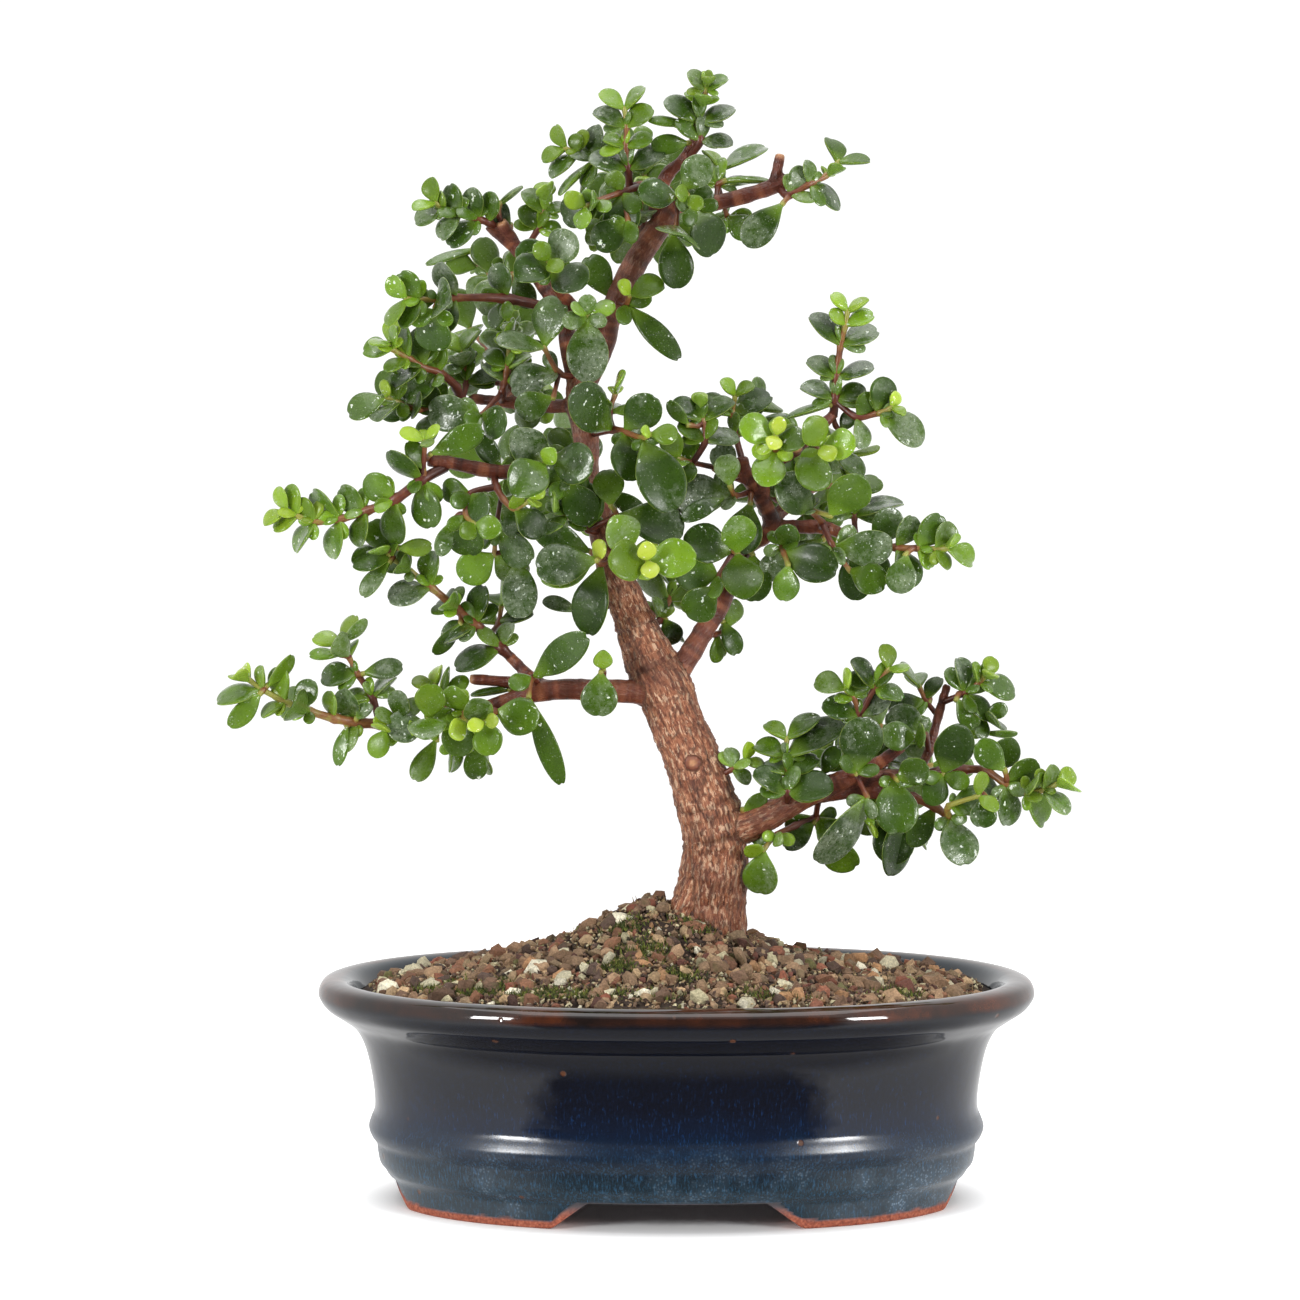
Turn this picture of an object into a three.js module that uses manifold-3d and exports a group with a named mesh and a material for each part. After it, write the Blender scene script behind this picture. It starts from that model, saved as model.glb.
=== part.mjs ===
// Dwarf jade (Portulacaria afra) grown as a small informal upright bonsai in an oval glazed pot.
// Millimetres. +Z is up, +X runs along the pot, and the tree's front faces -Y.
import * as THREE from 'three';
import { mergeVertices } from 'three/addons/utils/BufferGeometryUtils.js';
import Module from 'manifold-3d';

const wasm = await Module();
wasm.setup();

// ---- driving dimensions ----
const POT_LENGTH = 200; // over the lip
const POT_WIDTH = 150; // over the lip
const POT_HEIGHT = 62;
const POT_FLOOR_UNDER = 7.6; // underside of the floor
const POT_FLOOR_TOP = 13;
const POT_ROUNDNESS = 2.15; // exponent of the plan's superellipse, 2 is an ellipse
const POT_SIDES = 36;
const FOOT_BAND = 13; // width of the foot strips that follow the wall
const FOOT_SLOPE = 10; // how far a foot's end leans back from its sole
const FRONT_GAP = 48; // between the front feet at their tops, along X
const END_GAP = 22; // between the feet of one end at their tops, along Y
const DRAIN_DIAMETER = 14;
const DRAIN_SPACING = 60;
const DRAIN_SIDES = 16;
const SCREEN_SIZE = 22;
const SCREEN_THICKNESS = 1.2;
const SCREEN_MESH = 3; // holes along each side
const SCREEN_BAR = 2.9; // leaves square holes of 3.5, which hold the coarse grains back
const FIT = 0.3; // air between neighbouring pieces
const PAST = 1; // how far a cut runs on past the face that it opens
const SOIL_FOOT_CLEAR = 0.35; // air around the buried trunk
const SOIL_EDGE = 61; // height where the mound starts inside the rim
const SOIL_CONE = 23; // rise of the mound to the trunk
const SOIL_SPREAD = 34; // distance from the peak in which most of the mound falls off
const SOIL_FALL = 6; // drop of the mound's skirt to the rim
const SOIL_UNEVEN = 2;
const SOIL_SIDES = 28;
const STEM_TIP_RADIUS = 0.7;
const STEM_TAPER = 0.026; // radius gained for each millimetre from the tip
const STEM_MOST = 1.7;
const STEM_SIDES = 3;
const BLADE_THICKNESS = 2.2;
const FRONT_EYE = { x: -7.3, z: 216, distance: 1200 }; // where the front view is drawn from

// A point drawn in the front view at (x, z) over the plane y = 0, moved to its real depth.
function seen(x, z, depth) {
  const scale = (FRONT_EYE.distance + depth) / FRONT_EYE.distance;
  return new THREE.Vector3(
    FRONT_EYE.x + (x - FRONT_EYE.x) * scale,
    depth,
    FRONT_EYE.z + (z - FRONT_EYE.z) * scale,
  );
}

// Repeatable pseudo-random number between 0 and 1.
function draw(seed) {
  const value = Math.sin(seed * 12.9898) * 43758.5453;
  return value - Math.floor(value);
}

// ---- solids ----
function solid(geometry) {
  const bare = new THREE.BufferGeometry();
  bare.setAttribute('position', geometry.getAttribute('position'));
  bare.setIndex(geometry.getIndex());
  const merged = mergeVertices(bare, 1e-4);
  return new wasm.Manifold(new wasm.Mesh({
    numProp: 3,
    vertProperties: new Float32Array(merged.getAttribute('position').array),
    triVerts: new Uint32Array(merged.getIndex().array),
  }));
}

function largestBody(manifold) {
  return manifold.decompose().reduce((best, body) => (body.volume() > best.volume() ? body : best));
}

function geometryOf(manifold) {
  const mesh = manifold.getMesh();
  const geometry = new THREE.BufferGeometry();
  geometry.setAttribute('position', new THREE.BufferAttribute(mesh.vertProperties, 3));
  geometry.setIndex(new THREE.BufferAttribute(mesh.triVerts, 1));
  return geometry;
}

// Closed skin through a list of rings with the same number of points, closed by a fan at each end.
function skin(rings) {
  const sides = rings[0].length;
  const points = rings.flat();
  const middle = (ring) => ring.reduce((sum, p) => sum.add(p), new THREE.Vector3()).divideScalar(sides);
  const first = points.push(middle(rings[0])) - 1;
  const last = points.push(middle(rings.at(-1))) - 1;
  const top = (rings.length - 1) * sides;
  const index = [];
  for (let side = 0; side < sides; side += 1) {
    const next = (side + 1) % sides;
    index.push(first, next, side, last, top + side, top + next);
    for (let ring = 0; ring < rings.length - 1; ring += 1) {
      const a = ring * sides + side;
      const b = ring * sides + next;
      index.push(a, b, b + sides, a, b + sides, a + sides);
    }
  }
  const geometry = new THREE.BufferGeometry().setFromPoints(points);
  geometry.setIndex(index);
  return geometry;
}

// Tapered round tube through points, each with its radius; the cross-section is carried without twist.
function limb(points, radii, sides) {
  let across = new THREE.Vector3(0.3, 1, 0.2);
  return skin(points.map((point, i) => {
    const before = points[Math.max(i - 1, 0)];
    const after = points[Math.min(i + 1, points.length - 1)];
    const along = after.clone().sub(before).normalize();
    across = across.clone().addScaledVector(along, -across.dot(along)).normalize();
    const other = along.clone().cross(across);
    return Array.from({ length: sides }, (_, k) => {
      const angle = (2 * Math.PI * k) / sides;
      return point.clone()
        .addScaledVector(across, radii[i] * Math.cos(angle))
        .addScaledVector(other, radii[i] * Math.sin(angle));
    });
  }));
}

// ---- pot ----
// Outside of the wall from the foot's sole to the lip, then down the inside: [half length, height].
const POT_PROFILE = [
  [79, 0], [80, 7], [83.5, 14], [83.8, 16], [86.2, 20.5], [84.3, 26], [84.8, 32], [86.2, 40],
  [88.6, 46.5], [92.5, 50.5], [98.5, 55], [100, 58.6], [98.7, 61], [96, POT_HEIGHT], [92.5, POT_HEIGHT],
  [89, 58], [82, 46], [79, 22], [72, POT_FLOOR_TOP],
];
const WIDTH_DIFFERENCE = (POT_LENGTH - POT_WIDTH) / 2; // every ring is inset alike from the lip

function ovalRing(halfLength, height, sides = POT_SIDES) {
  const halfWidth = halfLength - WIDTH_DIFFERENCE;
  const power = 2 / POT_ROUNDNESS;
  return Array.from({ length: sides }, (_, k) => {
    const angle = (2 * Math.PI * k) / sides;
    const [c, s] = [Math.cos(angle), Math.sin(angle)];
    return new THREE.Vector3(
      halfLength * Math.sign(c) * Math.abs(c) ** power,
      halfWidth * Math.sign(s) * Math.abs(s) ** power,
      height,
    );
  });
}

function block(sizeX, sizeY, sizeZ, x, y, z) {
  return solid(new THREE.BoxGeometry(sizeX, sizeY, sizeZ).translate(x, y, z));
}

// Gap between two feet, wider at the sole: a trapezium carried right through the foot band.
function footGap(width, length, turn) {
  const lean = FOOT_SLOPE * (1 + PAST / POT_FLOOR_UNDER);
  const outline = new THREE.Shape([
    new THREE.Vector2(-width / 2 - lean, -PAST),
    new THREE.Vector2(width / 2 + lean, -PAST),
    new THREE.Vector2(width / 2, POT_FLOOR_UNDER),
    new THREE.Vector2(-width / 2, POT_FLOOR_UNDER),
  ]);
  const gap = new THREE.ExtrudeGeometry(outline, { depth: length, bevelEnabled: false });
  gap.translate(0, 0, -length / 2).rotateX(Math.PI / 2).rotateZ(turn);
  return solid(gap);
}

const drainHoles = [-1, 1].map((side) => ({ side, x: (side * DRAIN_SPACING) / 2 }));

function makePot() {
  let pot = solid(skin(POT_PROFILE.map(([halfLength, z]) => ovalRing(halfLength, z))));
  const [[sole], [ankle]] = POT_PROFILE;
  const recess = [ovalRing(sole - FOOT_BAND, -PAST), ovalRing(ankle - FOOT_BAND, POT_FLOOR_UNDER)];
  pot = pot.subtract(solid(skin(recess)));
  pot = pot.subtract(footGap(FRONT_GAP, POT_WIDTH, 0));
  pot = pot.subtract(footGap(END_GAP, POT_LENGTH, Math.PI / 2));
  for (const { x } of drainHoles) {
    const radius = DRAIN_DIAMETER / 2;
    const hole = new THREE.CylinderGeometry(radius, radius, POT_FLOOR_TOP, DRAIN_SIDES);
    hole.rotateX(Math.PI / 2).translate(x, 0, POT_FLOOR_TOP / 2 + PAST);
    pot = pot.subtract(solid(hole));
  }
  return pot;
}

// Square of plastic mesh that lies on the floor over a drain hole.
function makeScreen(x) {
  const height = POT_FLOOR_TOP + FIT + SCREEN_THICKNESS / 2;
  const pitch = (SCREEN_SIZE - SCREEN_BAR) / SCREEN_MESH;
  const places = Array.from({ length: SCREEN_MESH }, (_, i) => (i - (SCREEN_MESH - 1) / 2) * pitch);
  const openings = places.flatMap((dx) => places.map(
    (dy) => block(pitch - SCREEN_BAR, pitch - SCREEN_BAR, 2 * SCREEN_THICKNESS, x + dx, dy, height),
  ));
  const sheet = block(SCREEN_SIZE, SCREEN_SIZE, SCREEN_THICKNESS, x, 0, height);
  return sheet.subtract(wasm.Manifold.union(openings));
}

// ---- woody plant ----
// Each limb: [x, z, depth, radius] points of the front view; the last point of a stub is its saw cut.
const WOOD = {
  trunk: [
    [10.5, 55, 0, 7.5], [10.5, 80, 0, 8.8], [11.1, 97.3, -1, 9], [9.7, 105.7, -2, 8.7],
    [4.4, 122.4, -2, 7.9], [-0.1, 133.5, -1, 7.7], [-3.1, 142, 0, 7.8], [-7.3, 150.3, 0, 6.8],
    [-14, 167, 1, 5], [-19.5, 183, 1.5, 4.1], [-24.5, 200, 3, 3.7], [-25, 212, 3, 3.5],
    [-26.5, 224, 4, 4.2], [-27, 230, 4, 3.4],
  ],
  leftRoot: [[7, 98, -2, 5], [4.6, 88, -3, 4.2], [0.5, 76, -5, 3.4]],
  rightRoot: [[13, 96, 1, 6], [14.6, 86, 2, 4.7], [16, 70, 3, 3.6]],
  backRoot: [[11, 96, 4, 6], [7, 75, 14, 2.8]],
  pruningScar: [[4.2, 121, -7, 3.4], [4.1, 121.2, -10.6, 2.6]],
  leader: [
    [-26.5, 225, 4, 3.6], [-20, 238, 3, 3.2], [-18, 247, 2, 3.2], [-11, 261, 0, 3.5], [-3, 273, 0, 3.2],
    [0.5, 276.8, -1, 2.8], [8, 276.5, -2, 2.4], [20, 279.2, -3, 2.3], [33.5, 283.8, -5, 2],
  ],
  leaderStub: [[26.8, 281, -4, 1.7], [28.8, 290.5, -5, 1.5]],
  crown: [[-6, 274, 0, 2.4], [-3, 284, 0, 2], [2, 289, -1, 1.7], [5, 294, -1, 1.6], [7.8, 295, -2, 1.6]],
  crownTwig: [[-5, 279, 0, 1.6], [-9, 282, 0, 1.4], [-13.5, 281, 0, 1.3]],
  leftFork: [
    [-27, 226, 4, 3.3], [-30, 238, 6, 2.6], [-31.5, 246, 7, 2.6], [-42, 262, 8, 2.3], [-52, 271, 7, 1.8],
  ],
  leftForkStub: [[-45, 266, 8, 1.9], [-48.5, 272, 5, 1.6]],
  rosetteBranch: [[-20, 243, 2, 2.2], [-27, 247, -3, 1.9], [-31, 251, -8, 1.8], [-34, 254.5, -12, 1.5]],
  upperLeft: [[-26, 221, 4, 2.2], [-38, 221, 8, 1.9], [-57, 223, 10, 1.5]],
  midLeft: [[-25, 207, 2, 2.6], [-38, 205, -4, 2.3], [-48, 202.5, -7, 2.2], [-62, 205, -9, 2],
    [-69, 206, -10, 2]],
  lowLeft: [[-1, 141, 0, 4.2], [-12, 141.5, -3, 3.3], [-34, 142, -5, 3], [-50, 138, -5, 2.1],
    [-60, 134, -5, 1.8]],
  lowLeftStub: [[-32, 142, -4, 2.6], [-45, 144, -2, 1.8], [-57.5, 145, -1, 1.5]],
  diagonal: [[-36, 142, -3, 2.2], [-41, 146, -1, 1.8], [-47, 152, 1, 1.6]],
  right: [
    [-4, 141, 0, 4], [1.9, 149, 1, 3.4], [8.6, 160, 3, 3], [12.8, 167, 4, 2.8], [19.2, 181, 4, 2.4],
    [24.7, 185, 3, 2.4], [26, 190.6, 2, 2.4], [19, 203, 0, 2.1], [18.3, 207, 0, 2],
  ],
  rightArm: [[25, 187, 3, 2.2], [40, 187.3, 4, 2], [47, 185, 4, 1.7]],
  rightInnerArm: [[19.5, 200.5, 0, 1.8], [10, 204, -3, 1.4]],
  rightUpper: [[24, 193, 2, 2.2], [25, 203, -1, 2], [34, 209.5, -4, 1.9], [44, 219, -1, 1.5]],
  rightUpperStub: [[33, 208.5, -4, 1.9], [33.5, 209.5, -9, 1.8]],
  lowRight: [
    [8, 100, -2, 5], [25, 106.5, -5, 4.2], [37, 113, -7, 3.4], [50, 118.5, -7, 2.4], [57, 122, -8, 1.9],
    [63, 126.5, -9, 1.8],
  ],
  lowRightUnder: [[36, 112, -6, 2.4], [48, 113.3, -4, 2], [60, 113, -3, 1.7]],
  lowRightEnd: [[46, 117, -6, 2.2], [58, 118, -3, 2], [70, 118.5, -1, 1.8]],
  lowRightUp: [[50, 118.5, -7, 2], [51, 125, -7, 1.9], [51, 131, -7, 1.7]],
  lowRightStub: [[66, 118.3, -1, 1.6], [70, 124, 1, 1.5], [73, 135, 3, 1.4], [75.5, 143.5, 3, 1.4]],
  backTop: [[-9, 264, 0, 2.4], [-9, 270, 14, 1.8], [-11, 276, 26, 1.3]],
  backLeft: [[-44, 221.5, 9, 1.8], [-48, 227, 24, 1.5], [-50, 233, 36, 1.2]],
  backMiddle: [[-23, 196, 2, 2.4], [-30, 199, 18, 1.8], [-38, 201, 32, 1.4]],
  backRight: [[26, 189, 2, 2.2], [32, 194, 16, 1.8], [38, 198, 28, 1.4]],
  backLowRight: [[42, 115.5, -7, 2.4], [50, 117, 10, 1.9], [58, 119, 24, 1.4]],
};
const limbSides = (radius) => {
  if (radius > 5) return 8;
  if (radius > 3) return 6;
  return radius > 2.1 ? 5 : 4;
};

function woodSolid(extra) {
  const limbs = Object.values(WOOD).map((rows) => {
    const points = rows.map(([x, z, depth]) => seen(x, z, depth));
    const radii = rows.map(([, , , radius]) => radius + extra);
    return solid(limb(points, radii, limbSides(rows[0][3])));
  });
  return wasm.Manifold.union(limbs);
}

// ---- soil ----
const SOIL_PEAK = { x: -5.5, y: 0 };

// Height of the mound: level at the rim, rising to a cone whose peak is heaped against the trunk's left.
function moundHeight(x, y) {
  const rim = Math.hypot(x / (POT_LENGTH / 2), y / (POT_WIDTH / 2));
  const toPeak = Math.hypot(x - SOIL_PEAK.x, y - SOIL_PEAK.y);
  return SOIL_EDGE - SOIL_FALL * rim ** 6 + SOIL_CONE * Math.exp(-((toPeak / SOIL_SPREAD) ** 1.4));
}

function makeSoil(trunkClear, screensClear) {
  const rings = [[71.6, POT_FLOOR_TOP + FIT], [78.6, 22], [81.6, 46], [88.2, 57.6]];
  const sides = rings.map(([halfLength, z]) => ovalRing(halfLength, z, SOIL_SIDES));
  const [brim] = rings.at(-1);
  const shares = [0.95, 0.8, 0.64, 0.48, 0.33, 0.19, 0.07];
  const top = shares.map((share, r) => ovalRing(brim, 0, SOIL_SIDES).map((p, k) => {
    const x = p.x * share;
    const y = p.y * share;
    const uneven = SOIL_UNEVEN * (draw(r * SOIL_SIDES + k + 1) - 0.5);
    return new THREE.Vector3(x, y, moundHeight(x, y) + uneven);
  }));
  return largestBody(solid(skin([...sides, ...top])).subtract(trunkClear).subtract(screensClear));
}

// ---- leafy shoots ----
// A spray is a list of shoots. A shoot starts with its root on the wood or on an earlier shoot of the
// spray, [x, z, depth], and goes on through its nodes: [x, z, depth, blade length, turn, partner].
// turn is the angle in the front view at which the first blade of the pair points, 0 to the right and
// 90 up; CROSS turns the pair a quarter round the stem from the pair below it. partner is the opposite
// blade's length where it differs, 0 where that blade has fallen, and a blade length of 0 is a bare node.
// A seventh value is a slim blade's width, as a share of the usual.
const CROSS = null;
const SPRAYS = {
  crown_tip: [
    [[3, 289, -1], [6.5, 293.8, -5, 8, -5], [6.3, 299, -4, 9.5, 0, 10], [7.3, 303.5, -4, 6, CROSS],
      [8, 307.5, -4.5, 6.5, 12], [8.3, 309.3, -5, 4.5, CROSS]],
  ],
  crown_left: [
    [[-13, 281, 0], [-13.3, 286, -3, 10, 5], [-14, 292, -4, 7, 0, 6], [-13.8, 297.5, -5, 8, 8, 9],
      [-14.3, 302.5, -5, 7.5, 22]],
    [[-13.3, 286, -3], [-21.5, 288.5, 4, 9, 85], [-27, 290.5, 3, 9, -85, 5], [-30.5, 291.8, 3, 6.5, 60]],
  ],
  crown_low_left: [
    [[-10, 281.5, 0], [-15, 280, -9, 11, -78, 6], [-22, 277.5, -13, 10, 205, 7],
      [-25, 276, -15, 6, CROSS]],
    [[-15, 280, -9], [-13.5, 272.5, -13, 10.5, 222, 0]],
  ],
  crown_front: [
    [[0, 277, -2], [0.5, 278.5, -11, 11, 182, 9], [2, 280.5, -17, 10, 58, 0], [3, 279, -21, 5, CROSS]],
    [[0.5, 278.5, -11], [5, 276.5, -15, 13.5, -60, 0]],
    [[0.5, 278.5, -11], [0, 270.5, -12, 16.5, -88, 0]],
  ],
  crown_right: [
    [[11, 277.5, -2], [11.5, 281.5, 3, 9.5, 0, 6], [12.3, 286, 5, 13, 6, 7]],
    [[11.5, 281.5, 3], [14, 273.5, 9, 8.5, -55, 6]],
  ],
  right_end: [
    [[28.5, 281, -4], [31, 279, -9, 15.5, 228, 8], [36.5, 282, -9, 10, -100, 6],
      [41.5, 284.5, -7, 5.5, CROSS],
      [44.5, 288, -5, 8, 5]],
  ],
  left_tip: [
    [[-50, 270.3, 7], [-51.8, 271.5, 4, 8, 40, 0], [-54.5, 272.4, 3, 10, -118, 8],
      [-59.5, 273.8, 2, 8, 95],
      [-64, 275, 2, 8, 190, 5], [-66.3, 276.8, 1, 6.5, 100]],
  ],
  left_fork_twig: [
    [[-42.5, 263, 7], [-38.5, 269.5, 3, 7, 175, 6], [-36.8, 274, 2, 7.5, 150, 6],
      [-36.5, 277.5, 2, 6.5, 85]],
  ],
  front_rosette: [
    [[-33.5, 254, -11], [-35, 258, -20, 12.5, -37, 10], [-35.2, 260, -27, 10, 42, 11],
      [-35.3, 261, -31, 6, CROSS]],
  ],
  left_shade: [
    [[-40, 258, 8], [-46, 256, 15, 11, 215, 9], [-51, 257, 20, 10, 95, 9], [-55, 259, 23, 8, CROSS]],
  ],
  left_round: [
    [[-31, 247, 7], [-47, 250.5, 3, 9, 85, 8], [-61, 250.8, -6, 10, 80, 10],
      [-66, 250.3, -12, 12.5, 5, 9],
      [-70.5, 250.3, -15, 8.5, CROSS], [-74.5, 250.5, -16, 7, 95, 8]],
    [[-66, 250.3, -12], [-66.8, 248, -15, 11, -92, 0]],
  ],
  left_wings: [
    [[-56, 222.9, 10], [-60, 220.8, 8, 0], [-66, 219.5, 5, 9, -85, 9], [-72.5, 220, 0, 9, CROSS],
      [-77, 221.8, -3, 10, -52, 9], [-80, 223.2, -5, 10.5, 212, 5]],
    [[-60, 220.8, 8], [-61, 226, 4, 0], [-65.5, 230, -1, 11, -95, 7], [-70, 231.5, -3, 10, 92, 9],
      [-74, 234, -5, 8.5, 80, 7], [-78.5, 236.5, -7, 7.5, 180, 6.5], [-79.3, 238, -8, 6.5, 88]],
    [[-60, 220.8, 8], [-58.3, 227, 12, 8, 3, 8], [-59, 231.5, 12, 8.5, CROSS],
      [-59.4, 235.5, 12, 7.5, 170]],
  ],
  left_upright: [
    [[-48.5, 222, 9], [-48.3, 224.5, 4, 0], [-47.5, 227.5, 5, 7, 180], [-47, 231, 5, 7, 50],
      [-46.3, 236.5, 5, 6.5, CROSS], [-46, 240, 5, 5.5, 85]],
    [[-48.3, 224.5, 4], [-54, 218.5, -4, 13.5, 190, 11.5]],
  ],
  fork_leaves: [
    [[-28, 229, 3], [-32.5, 230, -3, 12.5, 190, 0], [-36.5, 236.8, -6.5, 12.5, -104, 13]],
    [[-32.5, 230, -3], [-34, 223.5, -8, 10, 205, 0]],
  ],
  leader_cover: [
    [[-24.5, 246.5, -2], [-24.6, 246, -9, 16.5, -94, 6]],
  ],
  leader_right: [
    [[-16.5, 250, 0], [-14, 249, -7, 19, -46, 0, 0.5], [-13, 251.5, -10, 9, -5, 5]],
  ],
  centre_front: [
    [[-23, 213.5, 1], [-17.5, 214.3, -11, 19, 160, 0], [-14.5, 213.8, -15, 12.5, 75, 13],
      [-9.5, 212, -20, 19.5, -91, 0], [-7.5, 213, -24, 7, 0, 4]],
    [[-17.5, 214.3, -11], [-18.5, 219, -9, 9, 100, 8], [-17, 224, -8, 7, 70, 5]],
  ],
  mid_left_front: [
    [[-30, 206.5, -3], [-31.5, 200.5, -11, 13, -55, 10.5]],
    [[-30, 206.5, -3], [-35, 206, -13, 13.5, -5, 0], [-36, 205.5, -19, 12.5, 132, 0],
      [-36.5, 205, -24, 12.5, 228, 6]],
  ],
  mid_left_low: [
    [[-48.3, 195.5, -15], [-50, 187, -9, 12, -60, 10], [-50.5, 180, -6, 10.5, 28]],
    [[-50.5, 201, -8], [-50, 198.5, -12, 0], [-48, 195, -16, 11, -62, 0], [-45, 192.5, -19, 9.5, -40, 5],
      [-41, 194.5, -21, 5, CROSS]],
    [[-50, 198.5, -12], [-57, 196.5, -14, 9.5, 10, 8], [-58.5, 191, -17, 11, -88, 0],
      [-56.1, 188.1, -21.6, 7, 0, 6]],
  ],
  mid_left_wing: [
    [[-64, 204, -9], [-70.5, 200.5, -13, 11, 92, 12], [-78, 195, -13, 11, -85, 9],
      [-86, 191.8, -11, 9, 58],
      [-93, 189.6, -10, 10, 90], [-100, 188.7, -10, 9, -60, 7], [-105, 190.3, -10, 8, 82, 7],
      [-108, 191.5, -10, 6.5, 195]],
    [[-70.5, 200.5, -13], [-69.7, 210.5, -17, 4.5, 90]],
  ],
  bright_cross: [
    [[-17, 181, -1], [-14.5, 181.3, -8, 0], [-12.5, 181, -12, 12, 128, 9],
      [-8.3, 178.3, -28, 12.5, 4, 12.5],
      [-8, 178, -32, 6.5, 98, 5.5]],
    [[-14.5, 181.3, -8], [-20.5, 177, -10, 17.5, -102, 0], [-22.5, 178.5, -14, 15, 212, 6]],
  ],
  smooth_branch: [
    [[-21.5, 186, 0], [-24.5, 186.5, -6, 12, 60, 0], [-30, 190.5, -9, 9.5, 110, 8],
      [-33, 192, -10, 7, CROSS]],
    [[-24.5, 186.5, -6], [-17, 190.5, -10, 17, -3, 0], [-18, 193, -13, 9, 100, 0]],
  ],
  diagonal_wing: [
    [[-45.5, 150.5, 1], [-48.5, 153.5, 0, 12.5, 190, 7], [-52, 157, 2, 0], [-55.5, 160, -1, 10, 83, 9.5],
      [-61, 164.5, 0, 8, CROSS], [-68, 170.5, -2, 11, 255, 9], [-74, 175, -3, 8, CROSS],
      [-79, 178.8, -5, 11.5, 22, 10], [-80.3, 180.5, -6, 8.5, 118, 7]],
    [[-52, 157, 2], [-49.5, 160.5, 9, 9, 200], [-48.7, 165, 11, 14.5, 75, 9]],
  ],
  low_left_wing: [
    [[-58, 134.8, -5], [-64, 133, -5.5, 0], [-68, 132.3, -6, 0], [-77, 132.3, -6, 0],
      [-82.5, 132.6, -7.6, 0],
      [-88, 132.8, -10, 9.5, 100, 8], [-95, 134, -13, 11.5, -92, 7], [-102, 136, -15, 10.5, CROSS],
      [-108.5, 138.5, -16, 9, 112, 7], [-115, 142, -17, 11.5, 235, 6],
      [-118.7, 144.7, -17, 6.5, 150, 5.5]],
    [[-82.5, 132.6, -7.6], [-84.5, 139.5, -5, 8, 15], [-88.3, 146, -4, 11, 35, 9.5],
      [-91, 151, -3, 8.5, CROSS],
      [-92.5, 154.5, -2, 8, 30]],
    [[-77, 132.3, -6], [-77.8, 134, -13, 8, 75, 7], [-80.5, 131, -17, 7.5, 250, 6]],
    [[-68, 132.3, -6], [-69.5, 132.5, -14, 10, 195, 8], [-69, 134, -18, 9, 85, 11]],
    [[-64, 133, -5.5], [-64.5, 139.5, 1, 8.5, 92], [-67, 143, 2, 6, 150]],
    [[-64, 133, -5.5], [-62, 128.5, 4, 8.5, -95, 7], [-57.5, 128, 7, 10.5, -80, 8]],
  ],
  low_left_front: [
    [[-55, 136.3, -4], [-55.5, 136.5, -10, 0], [-60, 136, -15, 9.5, 92, 11], [-58.5, 133, -20, 7, 0]],
    [[-55.5, 136.5, -10], [-50.5, 136, -15, 11, -15, 0], [-53, 133.5, -22, 8.5, 100, 9],
      [-53.2, 133, -26, 5, CROSS]],
  ],
  round_leaf: [
    [[-20, 144, -5], [-20.3, 147, -9, 0], [-20.3, 147.8, -14, 13, -94, 5.5]],
  ],
  long_leaves: [
    [[-38, 143, -4], [-40, 145.5, -9, 22, 38, 0, 0.66], [-41, 140.5, -13, 23, -62, 0, 0.42]],
  ],
  inner_left: [
    [[10, 204, -3], [4.5, 205.2, -7, 6, CROSS], [1, 206.3, -9, 10.5, -88, 8]],
    [[4.5, 205.2, -7], [8, 211, -9, 8.5, 25, 8], [7.5, 216.5, -9, 9, 15, 9], [7, 220.5, -9, 5, CROSS]],
  ],
  right_crown: [
    [[18.5, 205, 0], [16.5, 212.5, 4, 9, 0], [15.5, 218, 5, 11, 8, 9], [16.3, 223.5, 4, 5.5, 10]],
    [[16.5, 212.5, 4], [21, 216, 10, 9, 20, 8], [23, 220, 12, 8, CROSS]],
  ],
  right_dark: [
    [[20.5, 197, 0], [16.5, 196, -8, 15.5, 183, 0], [15, 198.5, -12, 8, 100, 0]],
  ],
  right_front: [
    [[18.7, 180, 3], [16, 180.5, -6, 13, 172, 0], [17, 180, -12, 12.5, 98, 13.5]],
    [[16, 180.5, -6], [12, 174, -10, 11, 178, 0], [11.5, 171, -12, 10.5, 222, 0]],
  ],
  right_behind: [
    [[-9, 158, 4], [-4.5, 161.5, 11, 9, -75, 6], [-2, 167, 15, 11, 172, 8], [-1.5, 171, 17, 8, CROSS]],
  ],
  right_low: [
    [[7, 157, 3], [11, 157.5, 9, 7.5, -120, 0], [14, 159, 10, 10.5, -65, 8]],
  ],
  under_arm: [
    [[31, 187, 4], [29.5, 182, -3, 9, -110, 8], [30, 180, -9, 14.5, -3, 0], [31, 177, -13, 9, -100, 0]],
  ],
  arm_front: [
    [[40, 187.3, 3], [40.5, 188.5, -4, 0], [38, 191.5, -8, 14.5, 160, 0],
      [42.5, 190.5, -12, 13.5, 80, 0]],
    [[40.5, 188.5, -4], [43.5, 182, -9, 14.5, -32, 9], [48, 175.5, -7, 10, -40, 0]],
  ],
  arm_end: [
    [[46, 185.3, 4], [50, 183.5, 3, 0], [54.5, 182.3, -2, 10.5, 78, 9], [61, 181.6, -6, 10.5, -88, 9],
      [67, 181.4, -8, 10, 88, 6], [71.8, 181.2, -9, 7.5, 70, 6], [75, 181.4, -10, 8, -12, 5.5]],
    [[50, 183.5, 3], [49.5, 190, 6, 12.5, 10, 8], [50.5, 196, 7, 9, 95, 8]],
  ],
  bright_inner: [
    [[28, 206, -3], [27.5, 208.5, -12, 11, -97, 8.5], [27.5, 211.5, -23, 9.8, 158, 9],
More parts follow.
